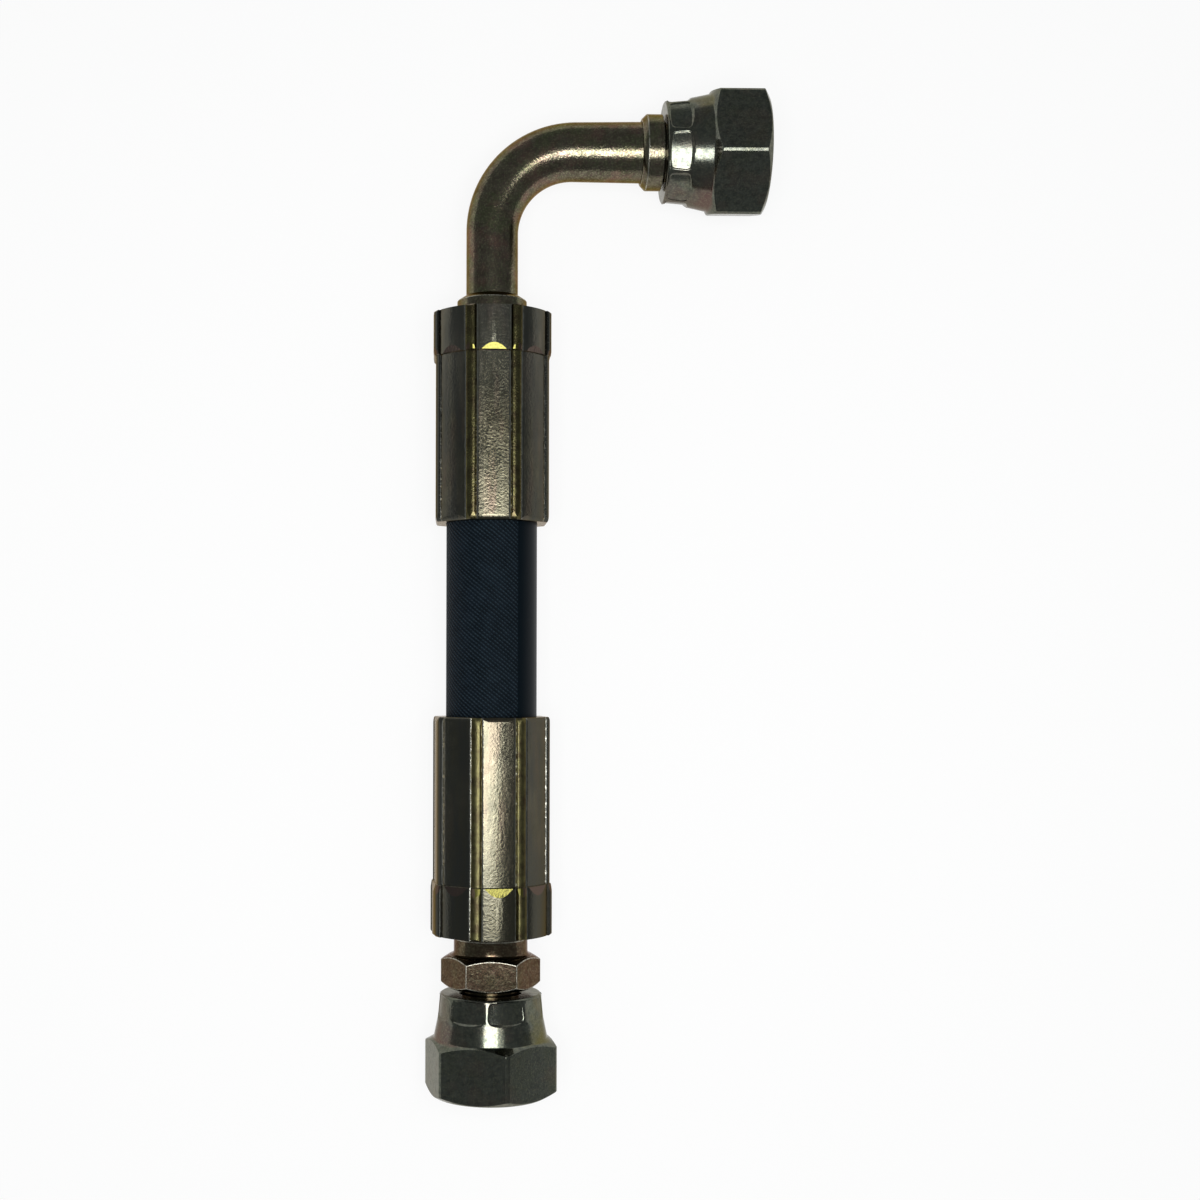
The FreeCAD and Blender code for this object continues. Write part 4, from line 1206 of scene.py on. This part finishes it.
class HOSE_OT_swivel_nuts(bpy.types.Operator):
    """Models the two swivel nuts with their crimped collars and threads"""

    bl_idname = "hose.swivel_nuts"
    bl_label = "Swivel nuts"

    def execute(self, context):
        nut = settings("nut")
        material = zinc("milled_yellow_zinc_nut", "nut", blotch=0.8, peel=0.26,
                        relief=0.004, tooth=0.002, polish=0.16, tint=0.15, flecked=0.2)
        straight = self.model("straight_hexagon_nut", nut.straight_corner, nut.straight_pads)
        fit(straight, "straight_nut", material, "straight_swivel_nut")
        elbow = self.model("elbow_hexagon_nut", nut.elbow_corner, nut.elbow_pads)
        moved(elbow, OUTLET_TIP, 90)
        fit(elbow, "elbow_nut", material, "elbow_swivel_nut")
        return {"FINISHED"}

    def model(self, name, corner, pad_turn):
        """Turned, milled, crimped, worn and threaded in that order."""
        nut, stem = settings("nut", "stem")
        hex_end = NUT_FRONT + nut.hex_length
        collar, cone_rise = nut.collar / 2, nut.flats / 2 * HEX_FACE - nut.collar / 2
        hollow_start, hollow_rise = 0.89, 0.1
        piece = turned(name, [
            *hexagon_blank(NUT_FRONT, hex_end, nut.flats),
            (hex_end + nut.cone_length * hollow_start, collar + cone_rise * hollow_rise),
            (hex_end + nut.cone_length, collar),
            (NUT_BACK - nut.collar_chamfer, collar - nut.collar_taper),
            (NUT_BACK, collar - nut.collar_taper - nut.collar_chamfer),
            *self.inside(nut, stem),
        ])
        mill_flats(piece, 6, nut.flats, corner)
        combine(piece, self.pad_tools(nut, pad_turn), "DIFFERENCE")
        half_side = math.radians(30)
        across_corners = nut.flats / math.cos(half_side)
        mill_flats(piece, 6, across_corners - 2 * nut.corner_wear, corner + half_side, worn=True)
        ease(piece, nut.edge, 28)
        # The film's tint turns from mauve on one side to olive on the other. This tint by side
        # is painted: it stands in for the film's colour seen at a grazing view at the nut's
        # sides, a painted reflection tint. The hexagon, up to just before the cone, has none,
        # the cone's first half has most, and the rest has less.
        on_cone, on_collar = 1.15, 0.8
        film = []
        for vertex in piece.data.vertices:
            station = (vertex.co.y - hex_end) / nut.cone_length
            share = 0 if station < -0.02 else on_cone if station < 0.5 else on_collar
            film.append(share * vertex.co.x / collar)
        piece.data.attributes.new("film", "FLOAT", "POINT").data.foreach_set("value", film)
        thread = self.thread(nut)
        only(piece)
        thread.select_set(True)
        bpy.ops.object.join()
        return piece

    def inside(self, nut, stem):
        """Bore from the back: crimped-in lip, room for the flange and thread root."""
        thread_radius = nut.thread_bore / 2
        room = stem.flange / 2 + nut.clearance
        lip = stem.neck / 2 + nut.clearance
        room_end = nose_outline(stem)[-2][0] + nut.clearance * math.tan(math.radians(22.5))
        thread_end = NUT_FRONT + nut.thread_depth
        return [
            (NUT_BACK, lip + nut.clearance),
            (NUT_BACK - nut.clearance, lip),
            (room_end + room - lip, lip),
            (room_end, room),
            (thread_end + thread_radius - room, room),
            (thread_end, thread_radius),
            (NUT_FRONT + nut.entry, thread_radius),
            (NUT_FRONT, thread_radius + nut.entry),
        ]

    def pad_tools(self, nut, pad_turn):
        """Round-cornered stamps with sloping sides, one trimmed to depth and copied round."""
        floor = nut.collar / 2 - nut.pad_depth
        middle = NUT_BACK - nut.pad_rim - nut.pad_length / 2
        half_turn = math.pi / nut.pads - nut.pad_gap / floor / 2
        start_below, rise, die_half = 0.2 * MM, 1.6 * MM, 3 * MM
        base = floor * math.cos(half_turn) - start_below
        slope_x, slope_y = math.tan(math.radians(55)), math.tan(math.radians(40))
        width = 2 * floor * math.sin(half_turn) - 2 * start_below * slope_x
        length = nut.pad_length - 2 * (floor - base) * slope_y
        bpy.ops.mesh.primitive_plane_add(size=1, location=(0, middle, base))
        bpy.context.object.scale = (width, length, 1)
        stamps = named("pad_stamps")
        edit(stamps, VERTICES, "SELECT")
        bpy.ops.mesh.bevel(offset=nut.pad_corner, segments=5, affect="VERTICES")
        bpy.ops.mesh.select_all(action="SELECT")
        pull((0, 0, rise))
        bpy.ops.transform.resize(
            value=(1 + 2 * rise * slope_x / width, 1 + 2 * rise * slope_y / length, 1),
            center_override=(0, middle, base))
        closed(stamps)
        fall = nut.collar_taper / (NUT_BACK - NUT_FRONT - nut.hex_length - nut.cone_length)
        die = turned("pad_die", [(middle + reach, nut.pad_crown - reach * fall)
                                 for reach in (-die_half, die_half)], sides=256, bored=False)
        die.location.z = floor - nut.pad_crown
        combine(stamps, die, "DIFFERENCE")
        edit(stamps, VERTICES, "SELECT")
        bpy.ops.transform.rotate(value=-pad_turn, orient_axis="Y", center_override=(0, 0, 0))
        bpy.ops.mesh.spin(steps=nut.pads - 1, angle=math.tau * (nut.pads - 1) / nut.pads,
                          dupli=True, center=(0, 0, 0), axis=(0, -1, 0))
        return closed(stamps)

    def thread(self, nut):
        """Ridge of the internal thread, wound from a three-cornered profile."""
        overlap, lead_in, turns, width_share = 0.1 * MM, 0.2 * MM, 4, 0.9
        crest = nut.thread_crest / 2
        first = NUT_FRONT + nut.entry + lead_in
        bpy.ops.mesh.primitive_circle_add(vertices=3, radius=1, rotation=(0, math.pi / 2, math.pi))
        ridge = named("thread_ridge")
        _, along, outwards = zip(*(vertex.co for vertex in ridge.data.vertices))
        width, depth = (max(places) - min(places) for places in (along, outwards))
        edit(ridge, VERTICES, "SELECT")
        bpy.ops.transform.resize(
            value=(1, nut.thread_pitch * width_share / width,
                   (nut.thread_bore / 2 + overlap - crest) / depth),
            center_override=(0, min(along), min(outwards)))
        bpy.ops.transform.translate(value=(0, first - min(along), crest - min(outwards)))
        bpy.ops.object.mode_set(mode="OBJECT")
        bpy.ops.object.modifier_add(type="SCREW")
        screw = ridge.modifiers[-1]
        screw.axis = "Y"
        screw.screw_offset = nut.thread_pitch
        screw.iterations = turns
        screw.steps = screw.render_steps = 64
        bpy.ops.object.modifier_apply(modifier=screw.name)
        edit(ridge, VERTICES, "SELECT")
        bpy.ops.mesh.fill_holes(sides=3)
        return closed(ridge)


class HOSE_PT_panel(bpy.types.Panel):
    """Lists the pieces and their sizes"""

    bl_idname = "HOSE_PT_panel"
    bl_label = "Hydraulic hose"
    bl_space_type = "VIEW_3D"
    bl_region_type = "UI"
    bl_category = "Hose"

    def draw(self, context):
        for operator in OPERATORS:
            self.layout.operator(operator.bl_idname)
        for group, kind in GROUPS.items():
            box = self.layout.box()
            box.label(text=group.capitalize())
            for name in kind.__annotations__:
                box.prop(settings(group), name)


GROUPS = {
    "cover": HoseCoverSettings,
    "ferrule": FerruleSettings,
    "stem": StemSettings,
    "elbow": ElbowSettings,
    "nut": NutSettings,
    "finish": FinishSettings,
    "stage": StageSettings,
}
OPERATORS = (
    HOSE_OT_stage,
    HOSE_OT_cover,
    HOSE_OT_hidden_layers,
    HOSE_OT_ferrules,
    HOSE_OT_straight_stem,
    HOSE_OT_elbow_fittings,
    HOSE_OT_elbow_tube,
    HOSE_OT_swivel_nuts,
)


def register():
    for cls in (*GROUPS.values(), *OPERATORS, HOSE_PT_panel):
        bpy.utils.register_class(cls)
    for group, kind in GROUPS.items():
        setattr(bpy.types.Scene, "hose_" + group, PointerProperty(type=kind))


def unregister():
    for group in GROUPS:
        delattr(bpy.types.Scene, "hose_" + group)
    for cls in (HOSE_PT_panel, *reversed(OPERATORS), *reversed(GROUPS.values())):
        bpy.utils.unregister_class(cls)


def main():
    register()
    for operator in OPERATORS:
        group, name = operator.bl_idname.split(".")
        getattr(getattr(bpy.ops, group), name)()


if __name__ == "__main__":
    main()
